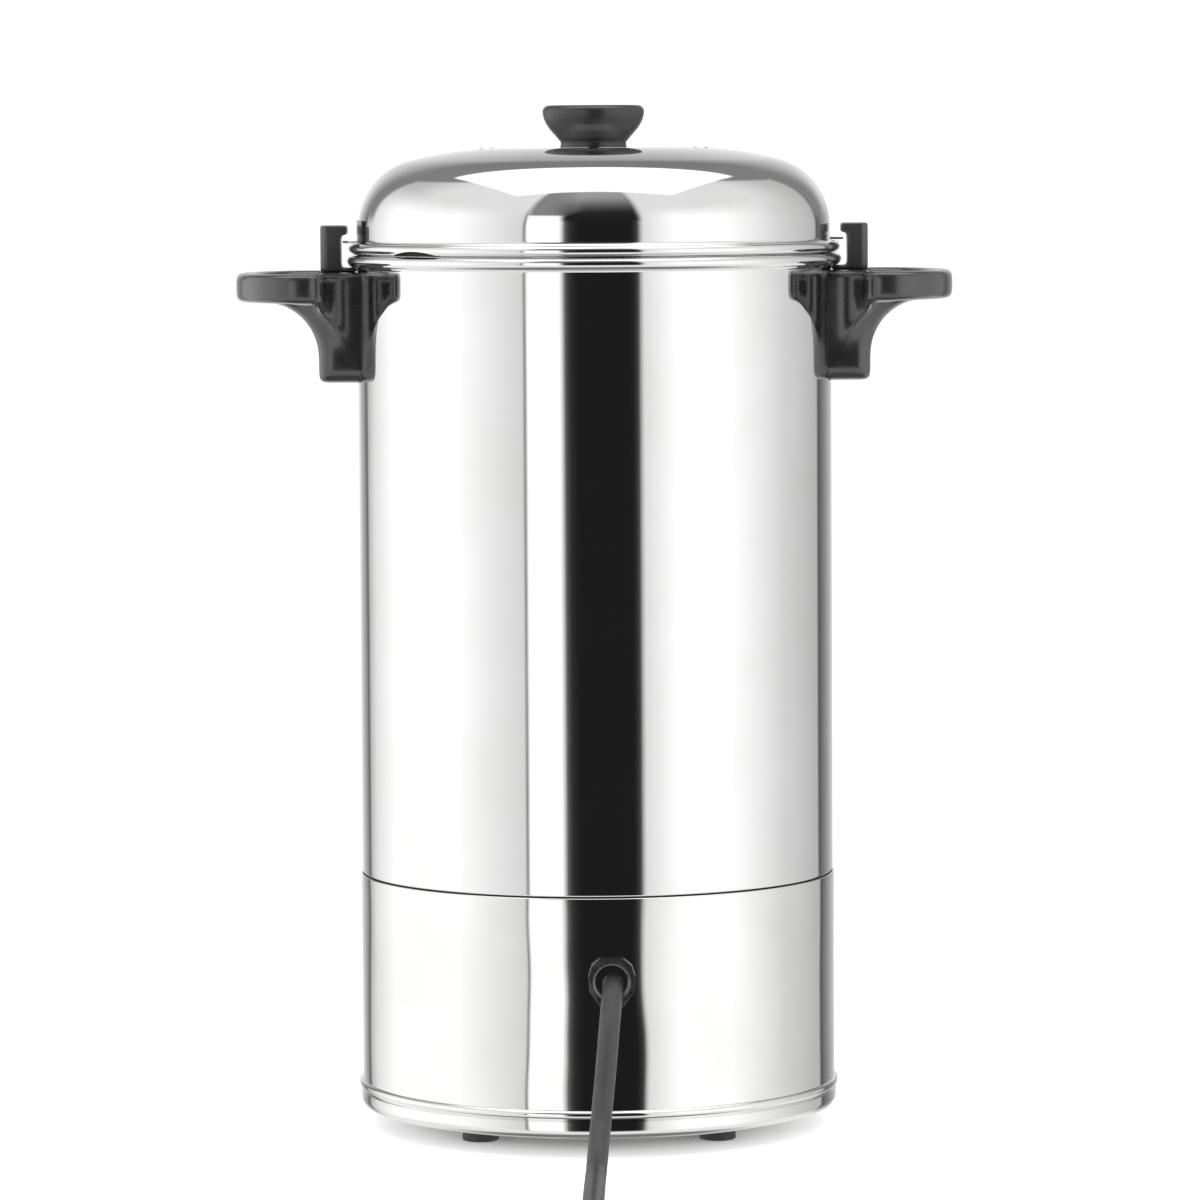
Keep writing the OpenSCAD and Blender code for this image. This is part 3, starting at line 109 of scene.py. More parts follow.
def coil_point(sweep):
    """A point on the coil, sweep degrees clockwise from where the lead joins it."""
    radius = glide(COIL_OUTER, COIL_INNER, sweep, INWARD)
    if sweep > OUTWARD[0]:
        radius = glide(COIL_INNER, COIL_OUTER, sweep, OUTWARD)
    height = glide(COIL_LOW, COIL_HIGH, sweep, UPWARD)
    angle = math.radians(180 - sweep)
    across, along = radius * math.cos(angle), radius * math.sin(angle)
    return (COIL_MIDDLE.x + across, COIL_MIDDLE.y + along, height)


def smooth_line(points, pieces):
    """Points of a Catmull-Rom curve through the given ones, in so many pieces for each gap."""
    points = [Vector(p) for p in points]
    ends = [2 * points[0] - points[1]] + points + [2 * points[-1] - points[-2]]
    line = []
    for p0, p1, p2, p3 in zip(ends, ends[1:], ends[2:], ends[3:]):
        for k in range(pieces):
            t = k / pieces
            line.append(
                0.5 * (2 * p1 + (p2 - p0) * t + (2 * p0 - 5 * p1 + 4 * p2 - p3) * t ** 2
                       + (3 * p1 - p0 - 3 * p2 + p3) * t ** 3)
            )
    return line + [points[-1]]


def linear(hex_colour):
    """The linear RGBA of an sRGB hex colour."""
    parts = [int(hex_colour[i:i + 2], 16) / 255 for i in (1, 3, 5)]
    return [c / 12.92 if c <= 0.04045 else ((c + 0.055) / 1.055) ** 2.4 for c in parts] + [1.0]


def add(tree, kind, inputs=None, **settings):
    """A new shader node. inputs maps sockets to values, or to the sockets that feed them."""
    made = tree.nodes.new("ShaderNode" + kind)
    for name, value in settings.items():
        setattr(made, name, value)
    for socket, value in (inputs or {}).items():
        if isinstance(value, bpy.types.NodeSocket):
            tree.links.new(value, made.inputs[socket])
        else:
            made.inputs[socket].default_value = value
    return made


def noise(tree, size_mm, detail=3.0):
    """Noise in the object's own space, whose patches are about size_mm across."""
    place = add(tree, "TexCoord").outputs["Object"]
    return add(
        tree, "TexNoise",
        {"Vector": place, "Scale": 1 / (size_mm * MM), "Detail": detail, "Roughness": 0.55},
    ).outputs["Fac"]


def spread(tree, factor, low, high):
    """Maps the middle of a noise, 0.3 to 0.7, to low to high."""
    return add(
        tree, "MapRange",
        {"Value": factor, "From Min": 0.3, "From Max": 0.7, "To Min": low, "To Max": high},
    ).outputs["Result"]


def bump(tree, factor, height_mm, after=None):
    """Raises the surface by up to height_mm where factor is 1."""
    inputs = {"Height": factor, "Strength": 1.0, "Distance": height_mm * MM}
    if after is not None:
        inputs["Normal"] = after
    return add(tree, "Bump", inputs).outputs["Normal"]


def material(name, dark, light, rough, patch_mm, bumps=(), metallic=0.0, **shader_values):
    """A material whose colour goes from dark to light, and whose roughness varies over rough, in
    patches of patch_mm. bumps holds (size_mm, height_mm) or (size_mm, height_mm, detail)."""
    made = bpy.data.materials.new(name)
    made.use_nodes = True
    tree = made.node_tree
    shader = tree.nodes["Principled BSDF"]
    shader.inputs["Metallic"].default_value = metallic
    for socket, value in shader_values.items():
        shader.inputs[socket.replace("_", " ")].default_value = value
    patches = noise(tree, patch_mm)
    colour = add(
        tree, "Mix",
        {"Factor": spread(tree, patches, 0, 1), 6: linear(dark), 7: linear(light)},
        data_type="RGBA",
    )
    tree.links.new(colour.outputs[2], shader.inputs["Base Color"])
    worn = noise(tree, patch_mm * 0.37, 4.0)
    tree.links.new(spread(tree, worn, *rough), shader.inputs["Roughness"])
    normal = None
    for size_mm, height_mm, *detail in bumps:
        normal = bump(tree, noise(tree, size_mm, *detail), height_mm, normal)
    if normal is not None:
        tree.links.new(normal, shader.inputs["Normal"])
    return made


def dress(thing, made):
    """Gives an object that material and no other."""
    if thing.data.materials:
        for slot in thing.material_slots:
            slot.link = "OBJECT"
            slot.material = made
    else:
        thing.data.materials.append(made)


# Chloroprene sheath: mid grey, matt, faintly pitted by the extruder
lead_rubber = material("lead_rubber", "#383839", "#434344", (0.40, 0.55), 14, [(0.9, 0.03)])

lead_line = smooth_line(
    lead_route + [coil_point(s) for s in range(10, COIL_SWEEP + 1, 10)] + tail_route, 3
)
lead_data = bpy.data.curves.new("mains_lead", "CURVE")
lead_data.dimensions = "3D"
lead_data.bevel_depth = LEAD_D / 2 * MM
lead_data.bevel_resolution = 6
lead_data.use_fill_caps = True
spline = lead_data.splines.new("POLY")
spline.points.add(len(lead_line) - 1)
for point, place in zip(spline.points, lead_line):
    point.co = (*(place * MM), 1)
spline.use_smooth = True
mains_lead = bpy.data.objects.new("mains_lead", lead_data)
bpy.context.scene.collection.objects.link(mains_lead)
dress(mains_lead, lead_rubber)
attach(mains_lead, "root")
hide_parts("cord", "cord_coil")
mains_lead.visible_glossy = False


def link_mesh(name, mesh_source, body, replaces=()):
    """A piece from a bmesh: its normals face out, it rides on a body and stands for CAD nodes."""
    bmesh.ops.remove_doubles(mesh_source, verts=mesh_source.verts, dist=1e-7)
    bmesh.ops.recalc_face_normals(mesh_source, faces=mesh_source.faces)
    mesh = bpy.data.meshes.new(name)
    mesh_source.to_mesh(mesh)
    mesh_source.free()
    thing = bpy.data.objects.new(name, mesh)
    bpy.context.scene.collection.objects.link(thing)
    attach(thing, body)
    if replaces:
        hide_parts(*replaces)
    return thing


def smooth(thing, edge_angle=35):
    """Shades a mesh smooth, with creases where it turns by more than edge_angle."""
    thing.data.shade_smooth()
    thing.data.set_sharp_from_angle(angle=math.radians(edge_angle))


def supported(outline, margin=0.4):
    """The outline with a point near both ends of each long straight, so that shading stays flat."""
    line = []
    for (x0, z0), (x1, z1) in zip(outline, outline[1:]):
        length = math.hypot(x1 - x0, z1 - z0)
        line.append((x0, z0))
        if length > 4 * margin:
            for t in (margin / length, 1 - margin / length):
                line.append((x0 + (x1 - x0) * t, z0 + (z1 - z0) * t))
    return line + [outline[-1]]


def lathe(outline, segments=256):
    """A bmesh spun round the Z axis from an outline of (radius, height) in millimetres. An outline
    that starts and ends away from the axis is closed first."""
    made = bmesh.new()
    if outline[0][0] > 0.001 or outline[-1][0] > 0.001:
        outline = outline + [outline[0]]
    verts = [made.verts.new((r * MM, 0, z * MM)) for r, z in supported(outline)]
    edges = [made.edges.new(pair) for pair in zip(verts, verts[1:])]
    bmesh.ops.spin(
        made, geom=verts + edges, cent=(0, 0, 0), axis=(0, 0, 1), angle=math.tau,
        steps=segments, use_merge=True, use_duplicate=False,
    )
    bmesh.ops.remove_doubles(made, verts=made.verts, dist=1e-6)
    return made


def arc(centre, radius, start, end, steps=8):
    """Points of an arc in the plane of an outline, in degrees."""
    angles = [math.radians(start + (end - start) * k / steps) for k in range(steps + 1)]
    return [(centre[0] + radius * math.cos(a), centre[1] + radius * math.sin(a)) for a in angles]


def join(whole, piece):
    """Adds one bmesh to another and frees it."""
    part = bpy.data.meshes.new("part")
    piece.to_mesh(part)
    piece.free()
    whole.from_mesh(part)
    bpy.data.meshes.remove(part)


# Moulded plug: black PVC, whose fine spark-eroded grain dulls it, with a ribbed
# strain relief. Its two pins are nickel-plated brass, bright and a little warm.
plug_plastic = material("plug_plastic", "#1a1a1b", "#222223", (0.35, 0.5), 9, [(0.6, 0.02)])
pin_nickel = material("pin_nickel", "#b9b6ae", "#c9c6be", (0.18, 0.3), 5, metallic=1.0)
plug_box = [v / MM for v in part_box("plug_body")]
plug_long = plug_box[1].x - plug_box[0].x
PLUG_R, RELIEF, SLEEVE_R = 18.6, 26, 5.2
RIBS, RIB_PITCH, RIB_DEPTH, RIB_R, RIB_TAPER = 7, 3.4, 0.9, 6.4, 2.1
relief_ribs = []
for k in range(RIBS):
    rib_r = RIB_R + RIB_TAPER * k / RIBS
    rib_at = 1.6 + RIB_PITCH * k
    relief_ribs += [(rib_r - RIB_DEPTH, rib_at), (rib_r, rib_at + 0.6), (rib_r, rib_at + 2.4),
                    (rib_r - RIB_DEPTH, rib_at + 3)]
plug_outline = (
    [(0, 0), (SLEEVE_R, 0)] + relief_ribs
    + [(9.2, RELIEF), (13.4, RELIEF + 3), (PLUG_R - 0.7, RELIEF + 8.6), (PLUG_R, RELIEF + 12)]
    + [(PLUG_R, RELIEF + 22), (PLUG_R - 0.5, RELIEF + 22.5), (PLUG_R - 0.5, RELIEF + 24)]
    + [(PLUG_R, RELIEF + 24.5)] + arc((PLUG_R - 1.2, plug_long - 1.2), 1.2, 0, 90, 6)
    + [(0, plug_long)]
)
plug_middle = (plug_box[0] + plug_box[1]) / 2
plug_way = Matrix.Translation(Vector((plug_box[0].x, plug_middle.y, plug_middle.z)) * MM)
plug_way = plug_way @ Matrix.Rotation(math.pi / 2, 4, "Y")
plug_mesh = lathe(plug_outline, 72)
bmesh.ops.transform(plug_mesh, matrix=plug_way, verts=plug_mesh.verts)
plug_moulding = link_mesh("plug_moulding", plug_mesh, "root", ["plug_body"])
dress(plug_moulding, plug_plastic)
smooth(plug_moulding)

PIN_R, PIN_L, PIN_GAP, PIN_TIP = 2.4, 19, 19, 1.2
pin_tip = arc((PIN_R - PIN_TIP, PIN_L - PIN_TIP), PIN_TIP, 0, 90, 6)
pin_outline = [(0, 0), (PIN_R, 0)] + pin_tip + [(0, PIN_L)]
pins_mesh = bmesh.new()
for side in (-1, 1):
    pin = lathe(pin_outline, 48)
    bmesh.ops.transform(
        pin, verts=pin.verts,
        matrix=plug_way @ Matrix.Translation(Vector((0, side * PIN_GAP / 2, plug_long)) * MM),
    )
    join(pins_mesh, pin)
plug_prongs = link_mesh("plug_prongs", pins_mesh, "root", ["plug_pins"])
dress(plug_prongs, pin_nickel)
smooth(plug_prongs)

# The tie: a black woven hook-and-loop strap round one side of the coil, quite
# matt, its weave drawn coarser than it is
tie_fabric = material("tie_fabric", "#101011", "#1c1c1d", (0.75, 0.9), 3, [(0.8, 0.2)])
TIE_WIDTH, TIE_SHEET, TIE_GAP, TIE_ROUND, TIE_STEPS = 16, 0.9, 0.05, 0.55, 48
tie_mesh = bmesh.new()
tie_half = (COIL_OUTER - COIL_INNER + LEAD_D) / 2
tie_x = COIL_MIDDLE.x + (COIL_OUTER + COIL_INNER) / 2
tie_z = (COIL_LOW + COIL_HIGH) / 2
tie_edges = []
for reach, lowest in ((TIE_GAP, 0.6), (TIE_GAP + TIE_SHEET, 0.1)):
    loop = []
    for k in range(TIE_STEPS):
        angle = math.tau * k / TIE_STEPS
        across, up = (math.copysign(abs(v) ** TIE_ROUND, v) for v in (math.cos(angle), math.sin(angle)))
        loop.append(tie_mesh.verts.new(Vector((
            tie_x + across * (tie_half + reach),
            COIL_MIDDLE.y - TIE_WIDTH / 2,
            max(tie_z + up * (tie_half + reach), lowest),
        )) * MM))
    tie_edges += [tie_mesh.edges.new(pair) for pair in zip(loop, loop[1:] + loop[:1])]
bmesh.ops.bridge_loops(tie_mesh, edges=tie_edges)
far_side = bmesh.ops.extrude_face_region(tie_mesh, geom=tie_mesh.faces[:])["geom"]
bmesh.ops.translate(
    tie_mesh, vec=(0, TIE_WIDTH * MM, 0),
    verts=[v for v in far_side if isinstance(v, bmesh.types.BMVert)],
)
lead_tie = link_mesh("lead_tie", tie_mesh, "root")
dress(lead_tie, tie_fabric)
smooth(lead_tie)
for piece in (plug_moulding, plug_prongs, lead_tie):
    piece.visible_glossy = False


# ---- Surroundings ----------------------------------------------------------
# A small white studio: tall panels all round with dark gaps between them,
# a softbox overhead, a white table, and a pure white backdrop.
world = bpy.data.worlds.new("studio")
bpy.context.scene.world = world
world.use_nodes = True
sky = world.node_tree
sky.nodes.clear()
PANEL_SCALE = 1.3

# Brightness of the panels at directions in degrees from the camera's side
panels = [
    (-180, 0.95), (-168, 0.86), (-161, 0.60), (-151, 0.30), (-148.6, 0.15), (-147.2, 0.18),
    (-144.7, 0.58), (-136, 0.92), (-116, 1.28), (-72, 1.30), (-54, 1.05), (-34.7, 0.82),
    (-34.1, 0.22), (-33.4, 0.22), (-32.9, 1.30), (-16.4, 1.30), (-14.4, 0.16), (-12.2, 0.035),
    (-8, 0.014), (18, 0.014), (21, 0.05), (23.5, 0.90), (41, 1.30), (68, 1.28), (88, 1.02),
    (103, 0.82), (137, 0.55), (138.6, 0.10), (141, 0.14), (152, 0.34), (166, 0.62), (180, 0.85),
]


def calc(operation, a, b=0.0):
    """The result of one sum in the sky's nodes."""
    return add(sky, "Math", {0: a, 1: b}, operation=operation).outputs[0]


def blend_grey(factor, a, b):
    """Between a and b by a factor from 0 to 1."""
    made = add(sky, "Mix", {"Factor": factor, 2: a, 3: b}, data_type="FLOAT")
    return made.outputs[0]


def between(value, low, high):
    """0 where value is under low, 1 over high, smooth in between."""
    made = add(
        sky, "MapRange", {"Value": value, "From Min": low, "From Max": high},
        interpolation_type="SMOOTHSTEP",
    )
    return made.outputs["Result"]


def past(angle, low, high):
    """0 where an angle is under low degrees, 1 over high, smooth in between."""
    return between(angle, math.radians(low), math.radians(high))


def short_of(angle, low, high):
    """1 where an angle is under low degrees, 0 over high, smooth in between."""
    return calc("SUBTRACT", 1.0, past(angle, low, high))


look = add(sky, "SeparateXYZ", {"Vector": add(sky, "TexCoord").outputs["Generated"]})
look_x, look_y, look_z = look.outputs
azimuth = calc("ARCTAN2", calc("MULTIPLY", look_x, -1.0), look_y)
around = calc("ADD", calc("DIVIDE", azimuth, math.tau), 0.5)
ramp = add(sky, "ValToRGB", {"Fac": around})
stops = ramp.color_ramp.elements
stops[0].position, stops[1].position = 0.0, 1.0
for place, (turn, bright) in enumerate(panels):
    if place == 0:
        stop = stops[0]
    elif place == len(panels) - 1:
        stop = stops[len(stops) - 1]
    else:
        stop = stops.new(turn / 360 + 0.5)
    stop.color = (*[bright / PANEL_SCALE] * 3, 1)
wall = calc("MULTIPLY", ramp.outputs["Color"], PANEL_SCALE)

# Higher up the side panels are evenly lit, and the wall at the far end, on the
# tap's side, gets darker
LEAN = 1.3
elevation = calc("ARCSINE", look_z)
aside = calc("ABSOLUTE", azimuth)
side_level = blend_grey(past(aside, 95, 136), 0.92, 0.60)
wall = blend_grey(past(elevation, 14, 36), wall, side_level)
in_corner = short_of(aside, 147, 166)
behind = add(
    sky, "MapRange",
    {"Value": elevation, "From Min": math.radians(2), "From Max": math.radians(38),
     "To Min": 0.92, "To Max": 0.24},
).outputs["Result"]
above = calc("MAXIMUM", calc("SUBTRACT", elevation, math.radians(36)), 0.0)
lean_in = calc("MULTIPLY", above, LEAN)
far = past(calc("ADD", aside, lean_in), 135, 141)
far = calc("MULTIPLY", far, past(elevation, 1, 8))
behind = blend_grey(in_corner, behind, 0.26)
wall = blend_grey(far, wall, behind)

# The panel beside the dark gap is lower than the rest, and the gap fades upwards
in_panel = calc("MULTIPLY", past(azimuth, -36, -31), short_of(azimuth, -14, -2))
panel_top = calc("MULTIPLY", in_panel, past(elevation, 20.5, 23))
wall = blend_grey(panel_top, wall, 0.28)
blur = calc("MULTIPLY", past(elevation, 18, 32), math.radians(10))
gap_side = add(
    sky, "MapRange",
    {"Value": azimuth, "From Min": calc("SUBTRACT", math.radians(-18), blur),
     "From Max": calc("ADD", math.radians(-13), blur)},
    interpolation_type="SMOOTHSTEP",
).outputs["Result"]
in_gap = calc("MULTIPLY", gap_side, short_of(azimuth, 20, 25))
in_gap = calc("MULTIPLY", in_gap, past(elevation, 10, 16))
gap_fade = calc("POWER", past(elevation, 16, 58), 2.0)
gap_level = blend_grey(gap_fade, 0.018, 0.40)
wall = blend_grey(in_gap, wall, gap_level)

# A softbox overhead
over_z = calc("MAXIMUM", look_z, 0.05)
box_x = calc("ABSOLUTE", calc("DIVIDE", look_x, over_z))
box_y = calc("ABSOLUTE", calc("ADD", calc("DIVIDE", look_y, over_z), 0.04))
in_x = calc("SUBTRACT", 1.0, between(box_x, 0.60, 0.66))
in_y = calc("SUBTRACT", 1.0, between(box_y, 0.48, 0.58))
SOFTBOX_LEVEL = 1.9
upper = blend_grey(calc("MULTIPLY", in_x, in_y), wall, SOFTBOX_LEVEL)

# Below the horizon the table's white takes over, and close to the urn its shadow
downward = calc("MULTIPLY", elevation, -1.0)
table = blend_grey(past(downward, 44, 66), 1.0, 0.22)
level = blend_grey(past(downward, 14, 30), upper, table)

# What lights matt surfaces is a little stronger, and the backdrop is pure white
FILL, BACKDROP = 1.30, 1.05
path = add(sky, "LightPath").outputs
level = calc("MULTIPLY", level, blend_grey(path["Is Diffuse Ray"], 1.0, FILL))
light = blend_grey(path["Is Camera Ray"], level, BACKDROP)
grey = add(sky, "CombineXYZ", {0: light, 1: light, 2: light})
background = add(sky, "Background", {"Color": grey.outputs[0], "Strength": 1.0})
add(sky, "OutputWorld", {"Surface": background.outputs[0]})

# The table: a matt white disc that fades into the backdrop. Outside the urn's foot it glows faintly:
# painted light that keeps the open floor white while the shade under the urn stays dark
FLOOR_FADE, FLOOR_EDGE = 0.62, 1.0
GLOW_START, GLOW_FULL, GLOW = 0.062, 0.112, 0.5
floor_mesh = bmesh.new()
bmesh.ops.create_circle(floor_mesh, cap_ends=True, segments=96, radius=FLOOR_EDGE)
floor_data = bpy.data.meshes.new("floor")
floor_mesh.to_mesh(floor_data)
floor_mesh.free()
floor = bpy.data.objects.new("floor", floor_data)
bpy.context.scene.collection.objects.link(floor)
floor_paint = bpy.data.materials.new("white_laminate_painted_glow")
floor_paint.use_nodes = True
floor_tree = floor_paint.node_tree
floor_shader = floor_tree.nodes["Principled BSDF"]
floor_shader.inputs["Base Color"].default_value = (0.97, 0.97, 0.97, 1)
floor_shader.inputs["Roughness"].default_value = 0.9
floor_shader.inputs["Emission Color"].default_value = (1, 1, 1, 1)
from_middle = add(
    floor_tree, "VectorMath", {0: add(floor_tree, "TexCoord").outputs["Object"]}, operation="LENGTH"
).outputs["Value"]
# Painted light: the glow is off under the urn and full a little way out
glow = add(
    floor_tree, "MapRange",
    {"Value": from_middle, "From Min": GLOW_START, "From Max": GLOW_FULL, "To Min": 0.0, "To Max": GLOW},
    interpolation_type="SMOOTHSTEP",
)
floor_tree.links.new(glow.outputs["Result"], floor_shader.inputs["Emission Strength"])
fade = add(
    floor_tree, "MapRange",
    {"Value": from_middle, "From Min": FLOOR_FADE, "From Max": FLOOR_EDGE,
     "To Min": 1.0, "To Max": 0.0},
    interpolation_type="SMOOTHSTEP",
)
floor_tree.links.new(fade.outputs["Result"], floor_shader.inputs["Alpha"])
dress(floor, floor_paint)
floor.visible_glossy = False


# ---- Tank ------------------------------------------------------------------
# One deep-drawn shell of stainless steel, mirror-polished outside, with its
# rim rolled outwards and its foot stepped in for the skirt.
SHEET = 0.8
rim_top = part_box("tank")[1].z / MM
rim_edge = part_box("tank")[1].x / MM
RIM_R = 3.0
tank_in = rim_edge - 2 * RIM_R
tank_out = tank_in + SHEET
skirt_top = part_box("base_skirt")[1].z / MM
floor_level = skirt_top - 6

# Mirror-polished 304 sheet: very low haze, with the slow waves that drawing leaves
polished_tank = material(
    "polished_tank", "#e4e4e3", "#e9e9e9", (0.03, 0.05), 60, [(130, 0.10, 1)], metallic=1.0
)

WELL_R, WELL_DEPTH, BEND = 24, 10, 6
step_r = tank_out - SHEET
bend_at = (step_r - SHEET - BEND, floor_level + BEND)
well_level = floor_level - WELL_DEPTH
rim_at = (tank_in + RIM_R, rim_top - RIM_R)
tank_outline = (
    [(0, well_level), (WELL_R - 4, well_level), (WELL_R, well_level + 4), (WELL_R, floor_level - 1.5),
     (WELL_R + 1.5, floor_level)]
    + arc(bend_at, BEND, -90, 0)
    + [(step_r - SHEET, skirt_top + 0.4), (tank_in, skirt_top + 1.2)]
    + arc(rim_at, RIM_R, 180, -110, 24)
    + [(tank_out + 0.5, rim_at[1] - RIM_R), (tank_out, rim_at[1] - RIM_R - 0.8)]
    + [(tank_out, skirt_top + 1.05), (tank_out - 0.15, skirt_top + 0.8), (step_r, skirt_top + 0.75)]
    + arc(bend_at, BEND + SHEET, 0, -90)
    + [(WELL_R + 1.8, floor_level - SHEET), (WELL_R + SHEET, floor_level - 1.8),
       (WELL_R + SHEET, well_level + 3), (WELL_R - 3, well_level - SHEET), (0, well_level - SHEET)]
)
tank_shell = link_mesh("tank_shell", lathe(tank_outline), "root", ["tank"])
dress(tank_shell, polished_tank)
smooth(tank_shell)

# Below the seam the shell is left as drawn and dull. Its dark colour is painted shade: it darkens the
# groove under the skirt's lip, and the cut faces of the lid's notch and vents
raw_steel_painted_shade = material(
    "raw_steel_painted_shade", "#34312f", "#454240", (0.5, 0.65), 15, [(1.0, 0.006)], metallic=1.0
)
tank_shell.data.materials.append(raw_steel_painted_shade)
# Faces in the seam's groove take the dark steel, as painted shade
for face in tank_shell.data.polygons:
    outside = face.center.xy.length > (step_r - SHEET / 2) * MM
    under = face.center.z < (floor_level - 0.2) * MM
    if face.center.z < (skirt_top + 0.9) * MM and (outside or under):
        face.material_index = 1


# ---- Base skirt and ring ---------------------------------------------------
# The skirt is rolled from thinner sheet, so it is wavier than the tank, and its
# top edge is turned over a small bead. The ring below it is pressed, with a
# rounded bead on top and a band that curves in under the urn.
skirt_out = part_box("base_skirt")[1].x / MM
ring_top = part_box("base_skirt")[0].z / MM
LIP_R = 0.62
skirt_in = skirt_out - SHEET
skirt_outline = (
    [(skirt_in, ring_top), (skirt_out, ring_top)]
    + arc((skirt_out - LIP_R, skirt_top - LIP_R), LIP_R, 0, 180, 12)
    + [(skirt_out - 2 * LIP_R, skirt_top - 8), (skirt_in, skirt_top - 9)]
)
# The same mirror polish on rolled sheet, whose waves make reflections wander
polished_skirt = material(
    "polished_skirt", "#e2e2e1", "#e8e8e7", (0.035, 0.06), 45, [(55, 0.9, 0.5), (160, 0.6, 0)],
    metallic=1.0,
)
base_skirt_shell = link_mesh(
    "base_skirt_shell", lathe(skirt_outline), "root", ["base_skirt"]
)
dress(base_skirt_shell, polished_skirt)
smooth(base_skirt_shell)

ring_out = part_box("base_ring")[1].x / MM
ring_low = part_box("base_ring")[0].z / MM
BEAD_H, BAND_BEND = 4.6, 5
band_r = ring_out - 0.9
band_top = ring_top - BEAD_H
ring_outline = (
    [(skirt_in - 1.2, ring_top + 7), (skirt_in - 0.2, ring_top + 7), (skirt_in - 0.2, ring_top),
     (skirt_out, ring_top)]
    + arc((ring_out - BEAD_H / 2, ring_top - BEAD_H / 2), BEAD_H / 2, 75, -75, 14)
    + [(band_r - 0.7, band_top - 0.2), (band_r, band_top - 0.9)]
    + arc((band_r - BAND_BEND, ring_low + 4.2), BAND_BEND, 0, -50, 12)
    + [(band_r - 4.4, ring_low), (skirt_in - 14, ring_low), (skirt_in - 14, ring_low + 1),
       (band_r - 5.2, ring_low + 1), (band_r - 2.6, ring_low + 2.2), (band_r - 1.2, ring_low + 5),
       (band_r - 2.4, band_top - 1), (skirt_in - 1.2, band_top + 1)]
)
base_ring_shell = link_mesh(
    "base_ring_shell", lathe(ring_outline), "root", ["base_ring"]
)
dress(base_ring_shell, polished_skirt)
smooth(base_ring_shell)


# ---- Lid -------------------------------------------------------------------
# A spun dome with a flat, gently curved crown. Its edge is rolled into a bead
# with a shallow thumb notch under it, and two vents are punched in the crown.
LID_SHEET = 0.7
crown_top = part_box("lid_dome")[1].z / MM
lid_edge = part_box("lid_dome")[1].x / MM
LID_BEAD, CROWN_FLAT, SHOULDER_R, DOME_BEND = 2.7, 44, 190, 34
lid_side = lid_edge - 2 * LID_BEAD + LID_SHEET / 2
lid_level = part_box("lid_dome")[0].z / MM + LID_BEAD
shoulder_low = crown_top - SHOULDER_R
shoulder_reach = SHOULDER_R - DOME_BEND
lean = math.asin((lid_side - DOME_BEND - CROWN_FLAT) / shoulder_reach)
bend_at = (lid_side - DOME_BEND, shoulder_low + shoulder_reach * math.cos(lean))
VENT_R, VENT_AT, VENT_RIM = 1.75, 53, 1.1
FLARE_R = 2.6


def dome_line(inset):
    """The dome's line from the axis out and down, moved in by inset."""
    split = 90 - math.degrees(lean)
    shoulder = arc((CROWN_FLAT, shoulder_low), SHOULDER_R - inset, 90, split, 30)
    side = arc(bend_at, DOME_BEND - inset, split, 0, 40)[1:]
    return [(0, crown_top - inset)] + shoulder + side


flare_at = (lid_side + FLARE_R, lid_level + LID_BEAD + FLARE_R - 0.5)
dome_outline = (
    dome_line(0)
    + arc(flare_at, FLARE_R, 180, 262, 8)
    + arc((lid_edge - LID_BEAD, lid_level), LID_BEAD, 84, -165, 26)
    + [(lid_side - LID_SHEET, lid_level + LID_BEAD + 0.4)]
    + list(reversed(dome_line(LID_SHEET)))
)
# Mirror-polished like the tank, with the finer waves that spinning leaves
polished_lid = material(
    "polished_lid", "#e4e4e3", "#e9e9e9", (0.035, 0.06), 50, [(90, 0.12, 1)], metallic=1.0
)
lid_shell = link_mesh("lid_shell", lathe(dome_outline), "lid", ["lid_dome"])
dress(lid_shell, polished_lid)


def cutter(radius, length, at, turn, segments=64):
    """A cylinder to cut with: its axis is Z before turn, a matrix, and at moves its middle."""
    made = bmesh.new()
    bmesh.ops.create_cone(
        made, cap_ends=True, segments=segments, radius1=radius * MM, radius2=radius * MM,
        depth=length * MM,
    )
    bmesh.ops.transform(made, matrix=Matrix.Translation(Vector(at) * MM) @ turn, verts=made.verts)
    mesh = bpy.data.meshes.new("cutter")
    made.to_mesh(mesh)
    made.free()
    thing = bpy.data.objects.new("cutter", mesh)
    bpy.context.scene.collection.objects.link(thing)
    # The dark raw steel goes on to the cut faces, as painted shade inside the notch and vents
    thing.data.materials.append(raw_steel_painted_shade)
    return thing


def cut(thing, tools):
    """Cuts each tool out of a piece, for good, and removes the tools. The cut faces are dull raw steel,
    painted dark as the shade inside the notch and vents.
    """
    for tool in tools:
        boolean = thing.modifiers.new("cut", "BOOLEAN")
        boolean.operation = "DIFFERENCE"
        boolean.solver = "EXACT"
        boolean.material_mode = "TRANSFER"
        boolean.object = tool
    graph = bpy.context.evaluated_depsgraph_get()
    cut_mesh = bpy.data.meshes.new_from_object(thing.evaluated_get(graph))
    thing.modifiers.clear()
    old = thing.data
    thing.data = cut_mesh
    bpy.data.meshes.remove(old)
    for tool in tools:
        bpy.data.objects.remove(tool)


NOTCH_TURN, NOTCH_W, NOTCH_H = 44, 34, 2.4
NOTCH_CUT, NOTCH_SHIFT, VENT_CUT = 10, 4.6, 40
notch_r = ((NOTCH_W / 2) ** 2 + NOTCH_H ** 2) / (2 * NOTCH_H)
notch_way = Matrix.Rotation(math.radians(NOTCH_TURN), 4, "Z")
notch_middle = notch_way @ Vector(
    (lid_edge - LID_BEAD + NOTCH_SHIFT, 0, lid_level - LID_BEAD + NOTCH_H - notch_r)
)
notch_turn = notch_way @ Matrix.Rotation(math.pi / 2, 4, "Y")
cut(lid_shell, [
    cutter(VENT_R, VENT_CUT, (VENT_AT, 0, crown_top), Matrix.Identity(4)),
    cutter(VENT_R, VENT_CUT, (-VENT_AT, 0, crown_top), Matrix.Identity(4)),
    cutter(notch_r, NOTCH_CUT, notch_middle, notch_turn, 256),
])
smooth(lid_shell)

